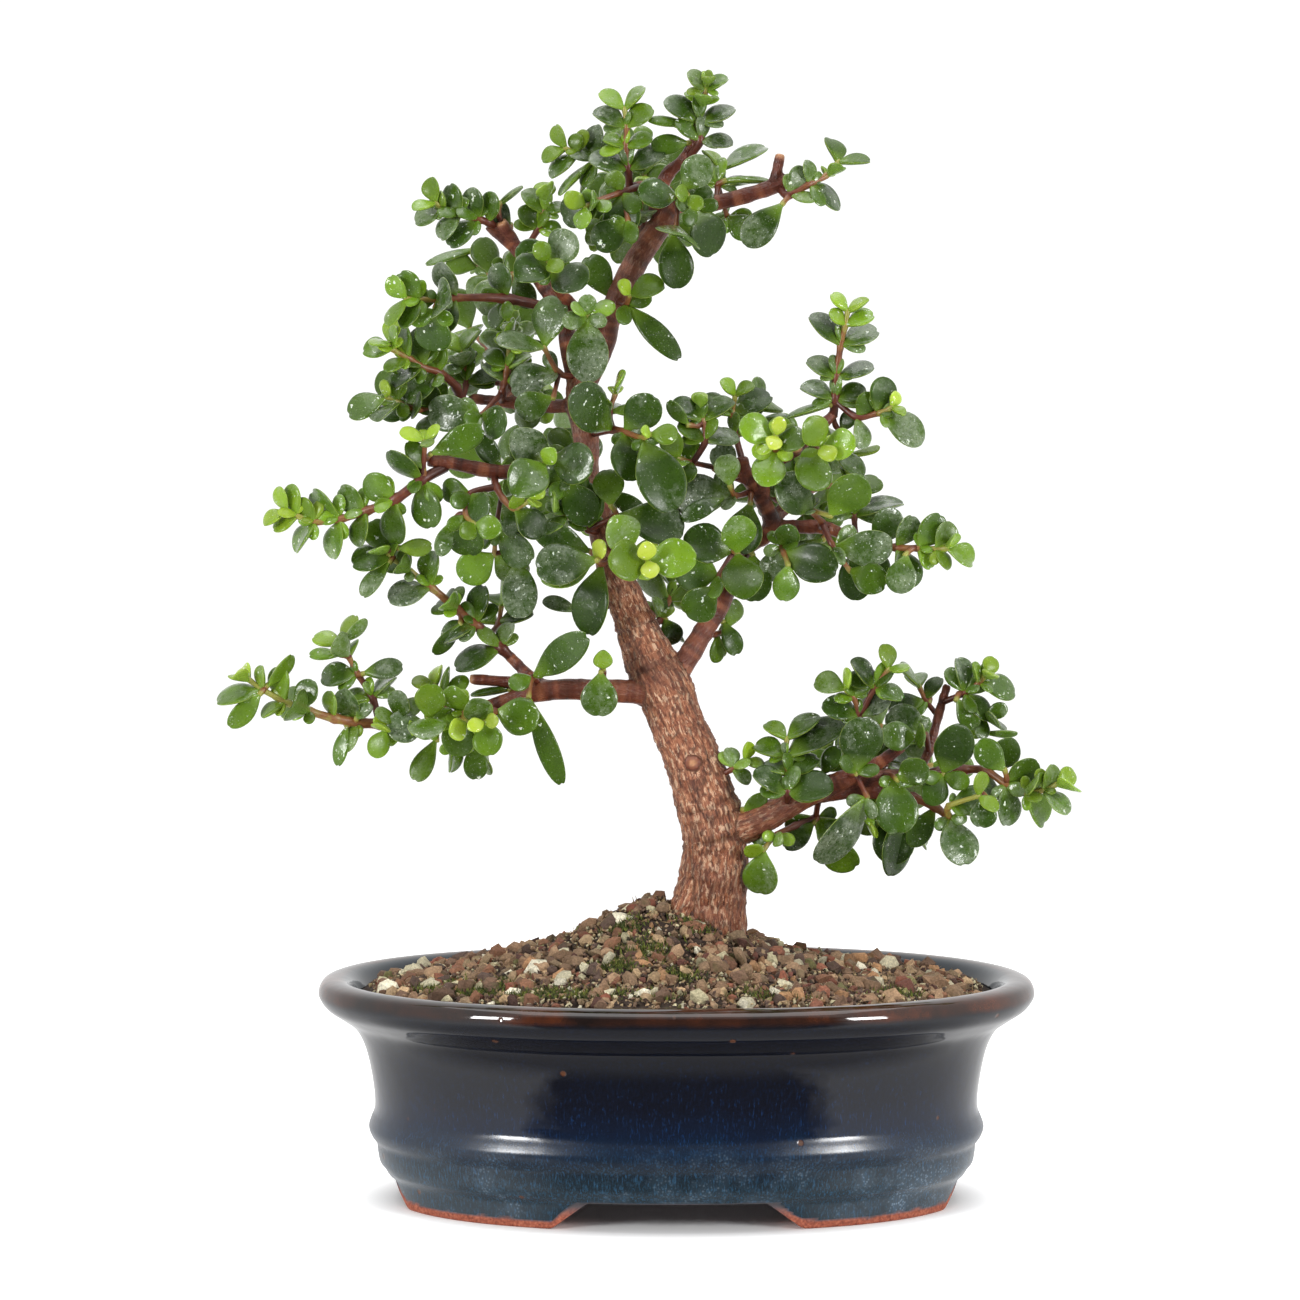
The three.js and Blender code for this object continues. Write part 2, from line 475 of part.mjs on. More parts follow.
      [27.6, 212.5, -26, 5, CROSS]],
  ],
  bright_outer: [
    [[37, 211.5, -4], [38.5, 210.5, -10, 0], [40, 208.8, -15, 11.5, -97, 0],
      [40.5, 209.3, -21, 9.8, 6, 0],
      [40.4, 209.8, -25, 9, 118, 6]],
    [[38.5, 210.5, -10], [44, 208.5, -3, 9.5, -40, 9], [48, 207, 1, 8, CROSS]],
  ],
  tall_twig: [
    [[43.5, 218, -1], [44, 222.5, -3, 9, 178, 8], [44.4, 228.5, -4, 9.5, -28, 8.5],
      [45.5, 237.5, -5, 10, 2, 10.5],
      [46.8, 243, -6, 7.5, 12, 5.5], [47.4, 246.8, -6, 6, 25]],
    [[44, 222.5, -3], [50, 217.8, -6, 8, -95, 7], [55.5, 218.8, -7, 9, 95, 0],
      [56.5, 218.9, -8, 12.5, -28, 0],
      [59.5, 220.3, -9, 4.5, 45]],
  ],
  trunk_sprout: [
    [[9, 116.5, -4], [15.5, 119.8, -6, 5.5, 80], [19, 122, -6, 5, 0]],
  ],
  low_right_inner: [
    [[31, 109.5, -6], [31, 113, -12, 11.5, -15, 10], [31.5, 118, -10, 8.5, 25],
      [30.5, 122.8, -8, 17, 14, 8.5],
      [30.8, 128, -6, 10, 22, 7]],
  ],
  low_right_up: [
    [[51, 130, -7], [51, 134.5, -8, 9, 20, 9.5], [49.5, 139.5, -9, 8.5, 65, 5],
      [47.3, 142, -10, 8, 150, 6.5]],
    [[51, 134.5, -8], [55, 142.2, -10, 9.5, 115, 7.5], [59, 147.5, -12, 6.5, 88, 5.5]],
  ],
  low_right_twig: [
    [[73, 134.5, 3], [69.5, 139, 5, 9.5, 185, 7], [67.8, 142.5, 6, 9, 125, 8]],
  ],
  low_right_peak: [
    [[74, 138.5, 3], [80, 141, 0, 9, 98, 9], [84, 143.8, -1, 10, 3, 6], [85.7, 145.8, -2, 5.5, CROSS]],
    [[80, 141, 0], [85.5, 134.5, 1, 8.5, -40, 6]],
  ],
  low_right_middle: [
    [[70.3, 124.5, 1], [69.5, 129.5, -4, 11, 140, 0], [67, 129, -8, 9, 195, 8]],
  ],
  low_right_front: [
    [[48, 118, -7], [50, 118.5, -16, 14.5, 86, 0]],
    [[50, 118.5, -16], [53, 112.5, -15, 20, 197, 0]],
  ],
  low_right_round: [
    [[58, 118, -3], [60, 118, -12, 14.5, -91, 0], [61.5, 117, -16, 9.5, 50, 0]],
  ],
  low_right_under: [
    [[40, 112.8, -5], [39, 106.5, 1, 8, 0], [40, 101, 3, 12, -35, 0]],
    [[39, 106.5, 1], [33, 104, -2, 0], [28, 101.5, -6, 7, 200, 5], [24.5, 97.5, -8, 11.5, -100, 6]],
  ],
  low_right_hanging: [
    [[59, 113, -3], [61.5, 112.8, -2, 0], [66, 112, -3, 0], [72.5, 109, -5, 0],
      [76, 106.5, -9, 13.5, -92, 0],
      [76, 109.5, -13, 10, 15, 0], [84, 112.3, -19, 6.5, 112, 6]],
    [[61.5, 112.8, -2], [61.5, 107.5, 6, 15.5, -90, 0], [65, 107.5, 9, 11, -88, 0]],
  ],
  low_right_end: [
    [[69, 118.5, -1], [73, 118.8, -1.5, 0], [80, 119.7, -1, 0], [86, 119.5, -5, 10.5, 72, 9],
      [91.5, 116, -8, 9.5, 60, 10.5], [97, 113.3, -10, 10.5, -35, 8], [102, 114, -12, 7, 95, 8.5],
      [105.8, 115.5, -13, 8, 20, 6.5]],
    [[73, 118.8, -1.5], [74.3, 118.5, -10, 13.5, 78, 8.5]],
  ],
  back_top: [
    [[-10.5, 275, 24], [-12, 280, 34, 12, 20], [-13, 287, 42, 11, CROSS], [-13, 292, 48, 8, CROSS]],
    [[-12, 280, 34], [-3, 281, 42, 12, 60], [3, 284, 48, 10, CROSS]],
  ],
  back_left: [
    [[-49.7, 232, 34], [-52, 236, 44, 12, 20], [-57, 242, 53, 11, CROSS]],
    [[-52, 236, 44], [-46, 239, 54, 12, 70], [-43, 243, 62, 10, CROSS]],
  ],
  back_middle: [
    [[-37, 200.8, 30], [-43, 202, 40, 13, 80], [-51, 204, 49, 12, CROSS]],
    [[-43, 202, 40], [-36, 207, 50, 12, 30], [-30, 212, 59, 11, CROSS]],
  ],
  back_right: [
    [[37, 197.5, 26], [42, 199, 36, 12, 72], [49, 200.5, 45, 11, CROSS]],
    [[42, 199, 36], [37, 204, 46, 12, 20], [33, 209, 54, 10, CROSS]],
  ],
  back_low_right: [
    [[57, 118.7, 22], [63, 120, 32, 12, 85], [71, 121, 41, 11, CROSS]],
    [[63, 120, 32], [60, 127, 42, 12, 15], [57, 132, 50, 10, CROSS]],
  ],
};

const BLADE_FULL = 1.16; // a blade's real length over the one drawn, because it slants to the view
const BLADE_MOST_WIDTH = 19;
const BLADE_PLUMP = 0.92; // greatest width, share of the length
const BLADE_ROWS = [[0.12, 0.15], [0.5, 0.97], [0.92, 0.62]]; // share of length, of half width
const SMALL_BLADE = 11; // below this length a blade does without its narrow foot
const LEAST_BLADE = 8.2; // smaller ones are the young leaves of a growing tip, and left out
const BLADE_CORE = 0.55; // share of the length that the thick middle of each face stands at
const BLADE_CUP = 0.16; // rise of the edges, share of the half width
const BLADE_BEND = 0.1; // drop of the tip, share of the length
const SPLAY_LOW = 66; // degrees from the stem, at the shoot's foot
const SPLAY_TIP = 46;
const CLEAR_AROUND = 0.3;
const TOWARDS_LIGHT = 1.5; // pull of a blade's upper face to the light, over its pull along the stem
const LIGHT = { outward: 0.45, front: 1, up: 0.45 }; // where the blades turn to: out of the crown and up
const CROWN_BACK = 14; // depth from which the blades turn to the back

// Tried in turn where a blade is in its neighbour's way: [roll, change of splay, scale].
const BLADE_TRIES = [1, 0.86, 0.72].flatMap((scale) => [
  [0, 0], [14, 0], [-14, 0], [0, -14], [0, 14], [26, -8], [-26, -8], [26, 12], [-26, 12], [40, 0],
  [-40, 0],
].map(([roll, splay]) => [roll, splay, scale]));

const degrees = THREE.MathUtils.degToRad;

// Directions of the stem and of the first blade of the pair at every node of a shoot.
function shootFrames(shoot) {
  const points = shoot.map(([x, z, depth]) => seen(x, z, depth));
  let aside = new THREE.Vector3(1, 0, 0);
  return shoot.slice(1).map((node, i) => {
    const next = points[Math.min(i + 2, points.length - 1)];
    const along = next.clone().sub(points[i]).normalize();
    const turn = node[4] ?? CROSS;
    const wanted = turn === CROSS
      ? along.clone().cross(aside)
      : new THREE.Vector3(Math.cos(degrees(turn)), 0, Math.sin(degrees(turn)));
    const square = wanted.clone().addScaledVector(along, -wanted.dot(along));
    if (square.length() < 0.3) square.add(new THREE.Vector3(0, -0.6, 0));
    aside = square.addScaledVector(along, -square.dot(along)).normalize();
    const tip = i / Math.max(shoot.length - 2, 1);
    return { base: points[i + 1], along, aside, tip, slim: node[6] ?? 1 };
  });
}

// Where one blade lies: its base, length direction, upper face and width. The upper face looks along the
// stem, and turns on the blade's foot towards the light.
function bladeFrame(frame, side, length, seed, [roll, splayChange, scale]) {
  const splay = degrees(
    THREE.MathUtils.lerp(SPLAY_LOW, SPLAY_TIP, frame.tip) + splayChange + 12 * (draw(seed) - 0.5),
  );
  const out = frame.aside.clone().multiplyScalar(side)
    .applyAxisAngle(frame.along, degrees(roll + 16 * (draw(seed + 0.37) - 0.5)));
  const forward = frame.along.clone().multiplyScalar(Math.cos(splay));
  forward.addScaledVector(out, Math.sin(splay));
  const outward = THREE.MathUtils.clamp(frame.base.x / (POT_LENGTH / 2), -1, 1) * LIGHT.outward;
  const front = frame.base.y > CROWN_BACK ? LIGHT.front : -LIGHT.front;
  const pull = TOWARDS_LIGHT * (0.5 + draw(seed + 0.53));
  const up = frame.along.clone().multiplyScalar(Math.sin(splay)).addScaledVector(out, -Math.cos(splay));
  up.addScaledVector(new THREE.Vector3(outward, front, LIGHT.up).normalize(), pull);
  up.addScaledVector(forward, -up.dot(forward)).normalize();
  const long = length * scale * BLADE_FULL;
  const widest = Math.min(BLADE_PLUMP * long, BLADE_MOST_WIDTH * (1 - Math.exp(-long / 13)));
  const wide = widest * frame.slim * (0.84 + 0.16 * draw(seed + 0.71));
  return { base: frame.base, forward, up, across: forward.clone().cross(up), long, wide };
}

// Obovate lens: a point in the stem, six round the edge and a thick middle on each face, cupped across
// and bent down its length.
function blade({ base, forward, up, across, long, wide }, grow = 0) {
  const rise = (share, aside) => Math.abs(aside) * BLADE_CUP * (wide / 2) - BLADE_BEND * long * share ** 2;
  const place = (share, aside, lift) => base.clone()
    .addScaledVector(forward, long * share + (share > 0.5 ? grow : 0))
    .addScaledVector(across, aside * (wide / 2 + grow))
    .addScaledVector(up, lift + rise(share, aside));
  const rows = long < SMALL_BLADE ? BLADE_ROWS.slice(1) : BLADE_ROWS;
  const left = rows.map(([share, aside]) => place(share, aside, 0));
  const right = rows.map(([share, aside]) => place(share, -aside, 0)).reverse();
  const thick = BLADE_THICKNESS / 2 + grow;
  const edge = [base.clone(), ...left, ...right];
  const cores = [place(BLADE_CORE, 0, thick), place(BLADE_CORE, 0, -thick)];
  const geometry = new THREE.BufferGeometry().setFromPoints([...edge, ...cores]);
  const faces = edge.flatMap((_, i) => {
    const next = (i + 1) % edge.length;
    return [i, next, edge.length, next, i, edge.length + 1];
  });
  geometry.setIndex(faces);
  return solid(geometry);
}

function stemOf(shoot) {
  const points = shoot.map(([x, z, depth]) => seen(x, z, depth));
  const last = points.at(-1);
  points.push(last.clone().add(last.clone().sub(points.at(-2)).setLength(1)));
  let toTip = 0;
  const radii = points.map(() => 0);
  for (let i = points.length - 1; i >= 0; i -= 1) {
    if (i < points.length - 1) toTip += points[i].distanceTo(points[i + 1]);
    radii[i] = Math.min(STEM_TIP_RADIUS + STEM_TAPER * toTip, STEM_MOST);
  }
  return solid(limb(points, radii, STEM_SIDES));
}

const boxesMeet = (a, b) => [0, 1, 2].every((i) => a.min[i] <= b.max[i] && b.min[i] <= a.max[i]);

// Places every blade of every spray so that it is clear of the wood and of all other sprays.
function growSprays(woodClear) {
  const placed = [];
  const sprays = Object.entries(SPRAYS).map(([name, shoots]) => {
    const parts = shoots.map(stemOf);
    parts.forEach((part) => placed.push({ name, part, box: part.boundingBox(), stem: true }));
    return { name, shoots, parts };
  });
  const woodPart = { name: 'wood', part: woodClear, box: woodClear.boundingBox() };
  let seed = 0;
  for (const { name, shoots, parts } of sprays) {
    for (const shoot of shoots) {
      shootFrames(shoot).forEach((frame, i) => {
        const [length, , partner = length] = shoot[i + 1].slice(3);
        for (const [side, long] of [[1, length], [-1, partner]]) {
          seed += 1;
          if (long >= LEAST_BLADE) {
            const found = fitBlade(name, frame, side, long, seed, placed, woodPart);
            if (found) {
              parts.push(found);
              placed.push({ name, part: found, box: found.boundingBox() });
            }
          }
        }
      });
    }
  }
  return sprays;
}

// First try that touches nothing of another node, and nothing but its own stem if there is such a one.
function fitBlade(name, frame, side, length, seed, placed, woodPart) {
  let crossing = null;
  for (const change of BLADE_TRIES) {
    const where = bladeFrame(frame, side, length, seed, change);
    const room = blade(where, CLEAR_AROUND);
    const box = room.boundingBox();
    const near = placed.filter((other) => boxesMeet(box, other.box));
    const touches = (other, share) => room.intersect(other.part).volume() > share * room.volume();
    const foreign = near.some((other) => other.name !== name && touches(other, 0));
    if (!foreign && !(boxesMeet(box, woodPart.box) && touches(woodPart, 0.06))) {
      if (!near.some((other) => other.name === name && !other.stem && touches(other, 0.04))) {
        return blade(where);
      }
      crossing ??= where;
    }
  }
  return crossing && blade(crossing);
}

// ---- the bonsai ----
const finishes = {
  glaze: new THREE.MeshStandardMaterial({ color: 0x1b2a3c, roughness: 0.15 }),
  soil: new THREE.MeshStandardMaterial({ color: 0x6b5142, roughness: 0.95 }),
  bark: new THREE.MeshStandardMaterial({ color: 0x8a5236, roughness: 0.8 }),
  leaf: new THREE.MeshStandardMaterial({ color: 0x3f7a2f, roughness: 0.35 }),
  plastic: new THREE.MeshStandardMaterial({ color: 0x23262a, roughness: 0.5 }),
};

const bonsai = new THREE.Group();

function add(name, manifold, finish) {
  const mesh = new THREE.Mesh(geometryOf(manifold), finish);
  mesh.name = name;
  bonsai.add(mesh);
}

const wood = woodSolid(0);
const woodClear = woodSolid(FIT);
add('pot', makePot(), finishes.glaze);
const screenRoom = drainHoles.map(({ x }) => {
  const side = SCREEN_SIZE + 2 * FIT;
  const height = SCREEN_THICKNESS + 2 * FIT;
  return block(side, side, height, x, 0, POT_FLOOR_TOP + height / 2);
});
add('soil', makeSoil(woodSolid(SOIL_FOOT_CLEAR), wasm.Manifold.union(screenRoom)), finishes.soil);
for (const { side, x } of drainHoles) {
  add(side < 0 ? 'drain_screen_left' : 'drain_screen_right', makeScreen(x), finishes.plastic);
}
add('trunk_and_branches', wood, finishes.bark);
for (const { name, parts } of growSprays(woodClear)) {
  add(`spray_${name}`, largestBody(wasm.Manifold.union(parts).subtract(woodClear)), finishes.leaf);
}

// The origin is the middle of the whole tree's box, on the surface that the pot stands on.
const extent = new THREE.Box3().setFromObject(bonsai);
const middle = extent.getCenter(new THREE.Vector3());
bonsai.position.set(-middle.x, -middle.y, -extent.min.z);

export default bonsai;
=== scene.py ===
import math
import bpy
import numpy as np
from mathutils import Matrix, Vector


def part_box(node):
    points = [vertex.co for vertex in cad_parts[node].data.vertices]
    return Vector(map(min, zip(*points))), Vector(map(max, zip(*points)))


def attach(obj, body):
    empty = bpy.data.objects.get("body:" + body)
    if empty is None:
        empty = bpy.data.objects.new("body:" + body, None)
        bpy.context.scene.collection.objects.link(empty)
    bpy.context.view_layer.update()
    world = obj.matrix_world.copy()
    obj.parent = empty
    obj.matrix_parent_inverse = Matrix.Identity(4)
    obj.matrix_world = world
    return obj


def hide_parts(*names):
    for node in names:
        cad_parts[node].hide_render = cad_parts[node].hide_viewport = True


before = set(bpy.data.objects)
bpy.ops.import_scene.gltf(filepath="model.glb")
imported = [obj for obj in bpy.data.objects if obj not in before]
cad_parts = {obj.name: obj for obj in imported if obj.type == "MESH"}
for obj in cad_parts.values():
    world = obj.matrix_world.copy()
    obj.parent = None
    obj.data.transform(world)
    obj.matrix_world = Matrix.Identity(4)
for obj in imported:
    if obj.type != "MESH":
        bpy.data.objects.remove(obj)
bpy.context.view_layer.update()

# ---- Pot ----
# Oval bonsai pot of pressed stoneware with a flared lip, a bulged tier and four bracket feet.
# It is dipped in a dark iron-blue glaze that runs down to teal over the foot band, breaks to brown
# where it is thin on the lip, and is wiped off the soles before the firing.
MM = 0.001
POT_MIDDLE = float(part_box("pot")[0][0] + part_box("pot")[1][0]) / 2 / MM
LIP_LENGTH = 200
LIP_WIDTH = 150
POT_ROUNDNESS = 2.15
SMALLEST_OVAL = 26  # half its length
FLOOR_UNDER = 7.6
FLOOR_TOP = 13
FOOT_BAND = 13  # width of the ring that the pot stands on
FRONT_GAP = 48  # between the feet at their tops
END_GAP = 22
FRONT_FROM, END_FROM = 25, 45  # the gaps end this far from the pot's long and short middle lines
FOOT_LENGTH = 79  # half the pot's length at its soles
FLOOR_LENGTH = 72  # half the length of the floor inside
WALL_LENGTH = 75  # rows of the profile longer than this belong to the walls
FOOT_SLOPE = 10  # how far a foot's end leans back from its sole
DRAIN_RADIUS = 7
DRAIN_PLACE = 30  # from the pot's middle to a drain hole
POT_COLUMNS = 384
WALL_STEPS = 4  # rows of the mesh for each point of the wall
OUTER_WALL = [
    (FOOT_LENGTH, 0), (79.4, 0.6), (79.6, 3), (80.2, 6.6), (81.6, 9.2), (83, 11), (83.6, 14), (83.9, 16.2),
    (85.3, 18.2), (86.1, 20.5), (85.5, 22.8), (84.6, 25.2), (84.4, 28), (84.9, 33), (86.2, 40),
    (87.8, 45), (90.2, 48.8), (94, 51.6), (97.8, 54.2), (99.7, 56.8), (100, 58.8), (99, 61), (96.6, 62),
    (93.4, 62), (90.8, 60.8), (89.2, 58), (87, 53), (82.2, 44), (79.5, 24), (FLOOR_LENGTH, FLOOR_TOP),
]


def colour(code):
    """sRGB hex to linear: c / 12.92 below 0.04045, else ((c + 0.055) / 1.055) to the power 2.4."""
    parts = [int(code[i:i + 2], 16) / 255 for i in (1, 3, 5)]
    return tuple(c / 12.92 if c <= 0.04045 else ((c + 0.055) / 1.055) ** 2.4 for c in parts) + (1.0,)


def set_inputs(tree, node, values):
    """Sets inputs to numbers or colours, or links them to sockets or to another node's first live output."""
    for key, value in values.items():
        if isinstance(value, bpy.types.Node):
            value = next(output for output in value.outputs if output.enabled)
        if isinstance(value, bpy.types.NodeSocket):
            tree.links.new(value, node.inputs[key])
        else:
            node.inputs[key].default_value = value


def add_node(tree, kind, values=None, stops=None, **settings):
    """Adds a shader node: settings are its properties, values its inputs, stops the colours of its ramp."""
    made = tree.nodes.new("ShaderNode" + kind)
    for name, value in settings.items():
        setattr(made, name, value)
    if stops:
        elements = made.color_ramp.elements
        while len(elements) < len(stops):
            elements.new(1.0)
        for element, (position, code) in zip(elements, stops):
            element.position = position
            element.color = colour(code)
    set_inputs(tree, made, values or {})
    return made


def new_material(name):
    """An empty node material with its Principled shader joined to the output."""
    material = bpy.data.materials.new(name)
    material.use_nodes = True
    tree = material.node_tree
    tree.nodes.clear()
    shader = add_node(tree, "BsdfPrincipled")
    add_node(tree, "OutputMaterial", {"Surface": shader.outputs["BSDF"]})
    return material, tree, shader


def smooth_path(points, steps):
    """Catmull-Rom curve through points: steps points on each span, by the cubic of its four neighbours."""
    p = np.asarray(points, float)
    p = np.vstack([2 * p[0] - p[1], p, 2 * p[-1] - p[-2]])
    t = np.linspace(0, 1, steps, endpoint=False)[None, :, None]
    a, b, c, d = (p[i:len(p) - 3 + i, None, :] for i in range(4))
    curve = 0.5 * (2 * b + (c - a) * t + (2 * a - 5 * b + 4 * c - d) * t ** 2
                   + (3 * b - a - 3 * c + d) * t ** 3)
    return np.vstack([curve.reshape(-1, p.shape[1]), p[-2]])


def grid_faces(rows, columns, offset=0):
    """Quads of a grid whose columns close round; point (r, c) is number offset + r * columns + c."""
    r, c = np.meshgrid(np.arange(rows - 1), np.arange(columns), indexing="ij")
    n = (c + 1) % columns
    quads = np.stack([r * columns + c, r * columns + n, (r + 1) * columns + n, (r + 1) * columns + c], -1)
    return quads.reshape(-1, 4) + offset


def link_new(name, data):
    """A new object of that mesh, light or camera, linked to the scene."""
    made = bpy.data.objects.new(name, data)
    bpy.context.scene.collection.objects.link(made)
    return made


def add_attribute(mesh, name, values):
    """A vector by vertex, from an (n, 3) array."""
    layer = mesh.attributes.new(name, "FLOAT_VECTOR", "POINT")
    layer.data.foreach_set("vector", np.asarray(values, np.float32).ravel())


def with_modifiers(piece):
    """The mesh that a piece has once its modifiers are applied."""
    bpy.context.view_layer.update()
    return bpy.data.meshes.new_from_object(piece.evaluated_get(bpy.context.evaluated_depsgraph_get()))


def make_piece(name, points, faces, material, smooth=True, attributes=None):
    """Mesh object from points in millimetres and lists of faces; attributes are (n, 3) arrays by point."""
    mesh = bpy.data.meshes.new(name)
    mesh.from_pydata((np.asarray(points) * MM).tolist(), [], [list(map(int, f)) for f in faces])
    mesh.polygons.foreach_set("use_smooth", np.full(len(mesh.polygons), smooth))
    for key, values in (attributes or {}).items():
        add_attribute(mesh, key, values)
    mesh.materials.append(material)
    mesh.validate()
    return link_new(name, mesh)


def oval(half_length, angle):
    """Superellipse |x/a|^n + |y/b|^n = 1, drawn at angle; b is a less the lip's difference of halves."""
    half_width = half_length - (LIP_LENGTH - LIP_WIDTH) / 2
    c, s = np.cos(angle), np.sin(angle)
    power = 2 / POT_ROUNDNESS
    return half_length * np.sign(c) * np.abs(c) ** power, half_width * np.sign(s) * np.abs(s) ** power


def ramp(value, low, high):
    """Smooth step: 0 below low, 1 above high, 3s^2 - 2s^3 between."""
    s = np.clip((value - low) / (high - low), 0, 1)
    return s * s * (3 - 2 * s)


def value_noise(points, scale, seed=0):
    """Random numbers on a cubic lattice of that pitch, blended smoothly between its corners; -1 to 1."""
    q = np.asarray(points, float) / scale + 100.0
    cell = np.floor(q).astype(np.int64)
    f = q - cell
    f = f * f * (3 - 2 * f)
    total = np.zeros(len(q))
    for corner in range(8):
        step = np.array([corner & 1, corner >> 1 & 1, corner >> 2 & 1])
        key = (cell + step) @ np.array([73856093, 19349663, 83492791]) + seed * 2654435761
        key = (key ^ (key >> 13)) * 1274126177 & 0x7FFFFFFF
        key = (key ^ (key >> 16)) * 1911520717 & 0x7FFFFFFF
        weight = np.prod(np.where(step == 1, f, 1 - f), axis=1)
        total += weight * (key / 0x3FFFFFFF - 1.0)
    return total


wall = smooth_path(OUTER_WALL, WALL_STEPS)
inside_floor = np.array([(share * FLOOR_LENGTH, FLOOR_TOP) for share in (0.85, 0.6, 0.3, 0.02)])
recess = FOOT_LENGTH - FOOT_BAND
recess_wall = np.array([(recess + 0.6, 0.0), (recess, 0.5), (recess + 1, 4.5),
                        (recess + 2, FLOOR_UNDER - 0.3), (recess + 1.2, FLOOR_UNDER)])
floor_under = np.array([(share * recess, FLOOR_UNDER) for share in (0.85, 0.6, 0.3, 0.02)])
sole = [((recess + FOOT_LENGTH) / 2, 0)]
profile = np.vstack([floor_under[::-1], recess_wall[::-1], sole, wall, inside_floor])
turn = np.linspace(0, 2 * np.pi, POT_COLUMNS, endpoint=False)
# Rows near the middle are the smallest oval that the difference of the halves leaves room for, shrunk.
half = np.maximum(profile[:, 0], SMALLEST_OVAL)[:, None]
pot_x, pot_y = oval(half, turn[None, :])
shrink = (profile[:, 0] / half[:, 0])[:, None]
pot_x, pot_y = pot_x * shrink, pot_y * shrink
pot_z = np.repeat(profile[:, 1][:, None], POT_COLUMNS, axis=1)
# Between the feet the foot band is lifted off the table, front and back near the middle, and at the ends.
gap_front = 1 - np.clip((np.abs(pot_x) - FRONT_GAP / 2) / FOOT_SLOPE, 0, 1)
gap_end = 1 - np.clip((np.abs(pot_y) - END_GAP / 2) / FOOT_SLOPE, 0, 1)
gap_end = np.where(np.abs(pot_x) > END_FROM, gap_end, 0)
gap_front = np.where(np.abs(pot_y) > FRONT_FROM, gap_front, 0)
lift = np.maximum(gap_front, gap_end) * FLOOR_UNDER * 0.98
low = pot_z < FLOOR_UNDER
pot_z = np.where(low, lift + pot_z * (1 - lift / FLOOR_UNDER), pot_z)
pot_points = np.stack([pot_x + POT_MIDDLE, pot_y, pot_z], -1).reshape(-1, 3)
# The wall sways a little, as a pressed one does, and the foot band has a ledge with a step below it.
outside = np.repeat(profile[:, 0] > WALL_LENGTH, POT_COLUMNS)[:, None]
sway = value_noise(pot_points, 34, 3)[:, None] * 0.35 + value_noise(pot_points, 13, 4)[:, None] * 0.1
outward = np.stack([pot_x, pot_y * 1.3, 0 * pot_x], -1).reshape(-1, 3)
outward /= np.linalg.norm(outward, axis=1, keepdims=True)
pot_points += outward * (sway - 0.25) * (ramp(pot_points[:, 2:], 4, 12) * outside)
over_foot = (1 - np.maximum(gap_front, gap_end)).reshape(-1, 1)
ledge = 0.55 * np.exp(-(pot_points[:, 2:] - 9.2) ** 2) - 0.5 * (1 - ramp(pot_points[:, 2:], 6.5, 8.6))
pot_points += outward * ledge * over_foot * outside
# thin: how thin the glaze is, 1 on the lip's edge; bare: unglazed clay, 1 on the soles and underneath;
# inside: 1 on the lip's top and inner wall
height = pot_points[:, 2]
row = np.repeat(np.arange(len(profile)), POT_COLUMNS)
first_wall_row = len(floor_under) + len(recess_wall) + 1
on_wall = (row >= first_wall_row) & (row < first_wall_row + len(wall))
lip_row = np.repeat(profile[:, 0], POT_COLUMNS)
thin = np.exp(-((height - 60.3) / 2.9) ** 2) * ramp(lip_row, 91, 94)
inside = ramp(row, *(first_wall_row + WALL_STEPS * np.array([21.2, 22.2])))
hem = 1.9 + 0.7 * value_noise(pot_points, 7, 8) + 0.4 * value_noise(pot_points, 2.5, 9)
sole_height = np.broadcast_to(lift, pot_z.shape).reshape(-1)
hem = hem * (1 - 0.92 * ramp(sole_height, 5.2, 7.3))
bare = np.where(on_wall, 1 - ramp(height - sole_height, hem, hem + 0.5), 1)
bare = np.where(on_wall & (height > 14), 0, bare)
pot_faces = grid_faces(len(profile), POT_COLUMNS).tolist()
first = list(range(POT_COLUMNS))[::-1]
last = [(len(profile) - 1) * POT_COLUMNS + c for c in range(POT_COLUMNS)]
glaze, tree, shader = new_material("iron_blue_glaze_on_stoneware")
# A thick glassy glaze: deep gloss, near black on the neck, blue where it pools and runs in fine streaks,
# teal over the foot band with crystals like pale dust, brown where it is thin; bare clay is terracotta on
# the soles, and greyed higher up by painted shade under the pot and between the feet.
place = add_node(tree, "TexCoord").outputs["Object"]
height_node = add_node(tree, "SeparateXYZ", {0: place}).outputs["Z"]
marks = add_node(tree, "Attribute", attribute_name="glaze").outputs["Vector"]
marks = add_node(tree, "SeparateXYZ", {0: marks}).outputs
streak_place = add_node(tree, "Mapping", {0: place, "Scale": (1, 1, 0.2)})
streaks = add_node(tree, "TexNoise", {"Vector": streak_place, "Scale": 1900, "Detail": 3, "Roughness": 0.8})
broad = add_node(tree, "TexNoise", {"Vector": streak_place, "Scale": 110, "Detail": 3})
cloud = add_node(tree, "TexNoise", {"Vector": place, "Scale": 38, "Detail": 5, "Roughness": 0.65})
tiers = add_node(tree, "MapRange", {0: height_node, 1: 0.0, 2: 0.062})
wander = add_node(tree, "Math", {0: broad, 1: 0.14, 2: -0.07}, operation="MULTIPLY_ADD")
tiers = add_node(tree, "Math", {0: tiers, 1: wander}, operation="ADD")
body = add_node(tree, "ValToRGB", {0: tiers}, stops=[
    (0.0, "#1b2a34"), (0.15, "#15252f"), (0.23, "#0f1f2a"), (0.29, "#0a1826"), (0.36, "#091b2f"),
    (0.44, "#081224"), (0.55, "#070a16"), (0.8, "#08080d"), (0.9, "#0b0c12"), (1.0, "#0d1016")])
blue = add_node(tree, "MapRange", {0: streaks, 1: 0.56, 2: 0.72})
blue_low = add_node(tree, "MapRange", {0: tiers, 1: 0.82, 2: 0.25, 3: 0.1, 4: 0.5})
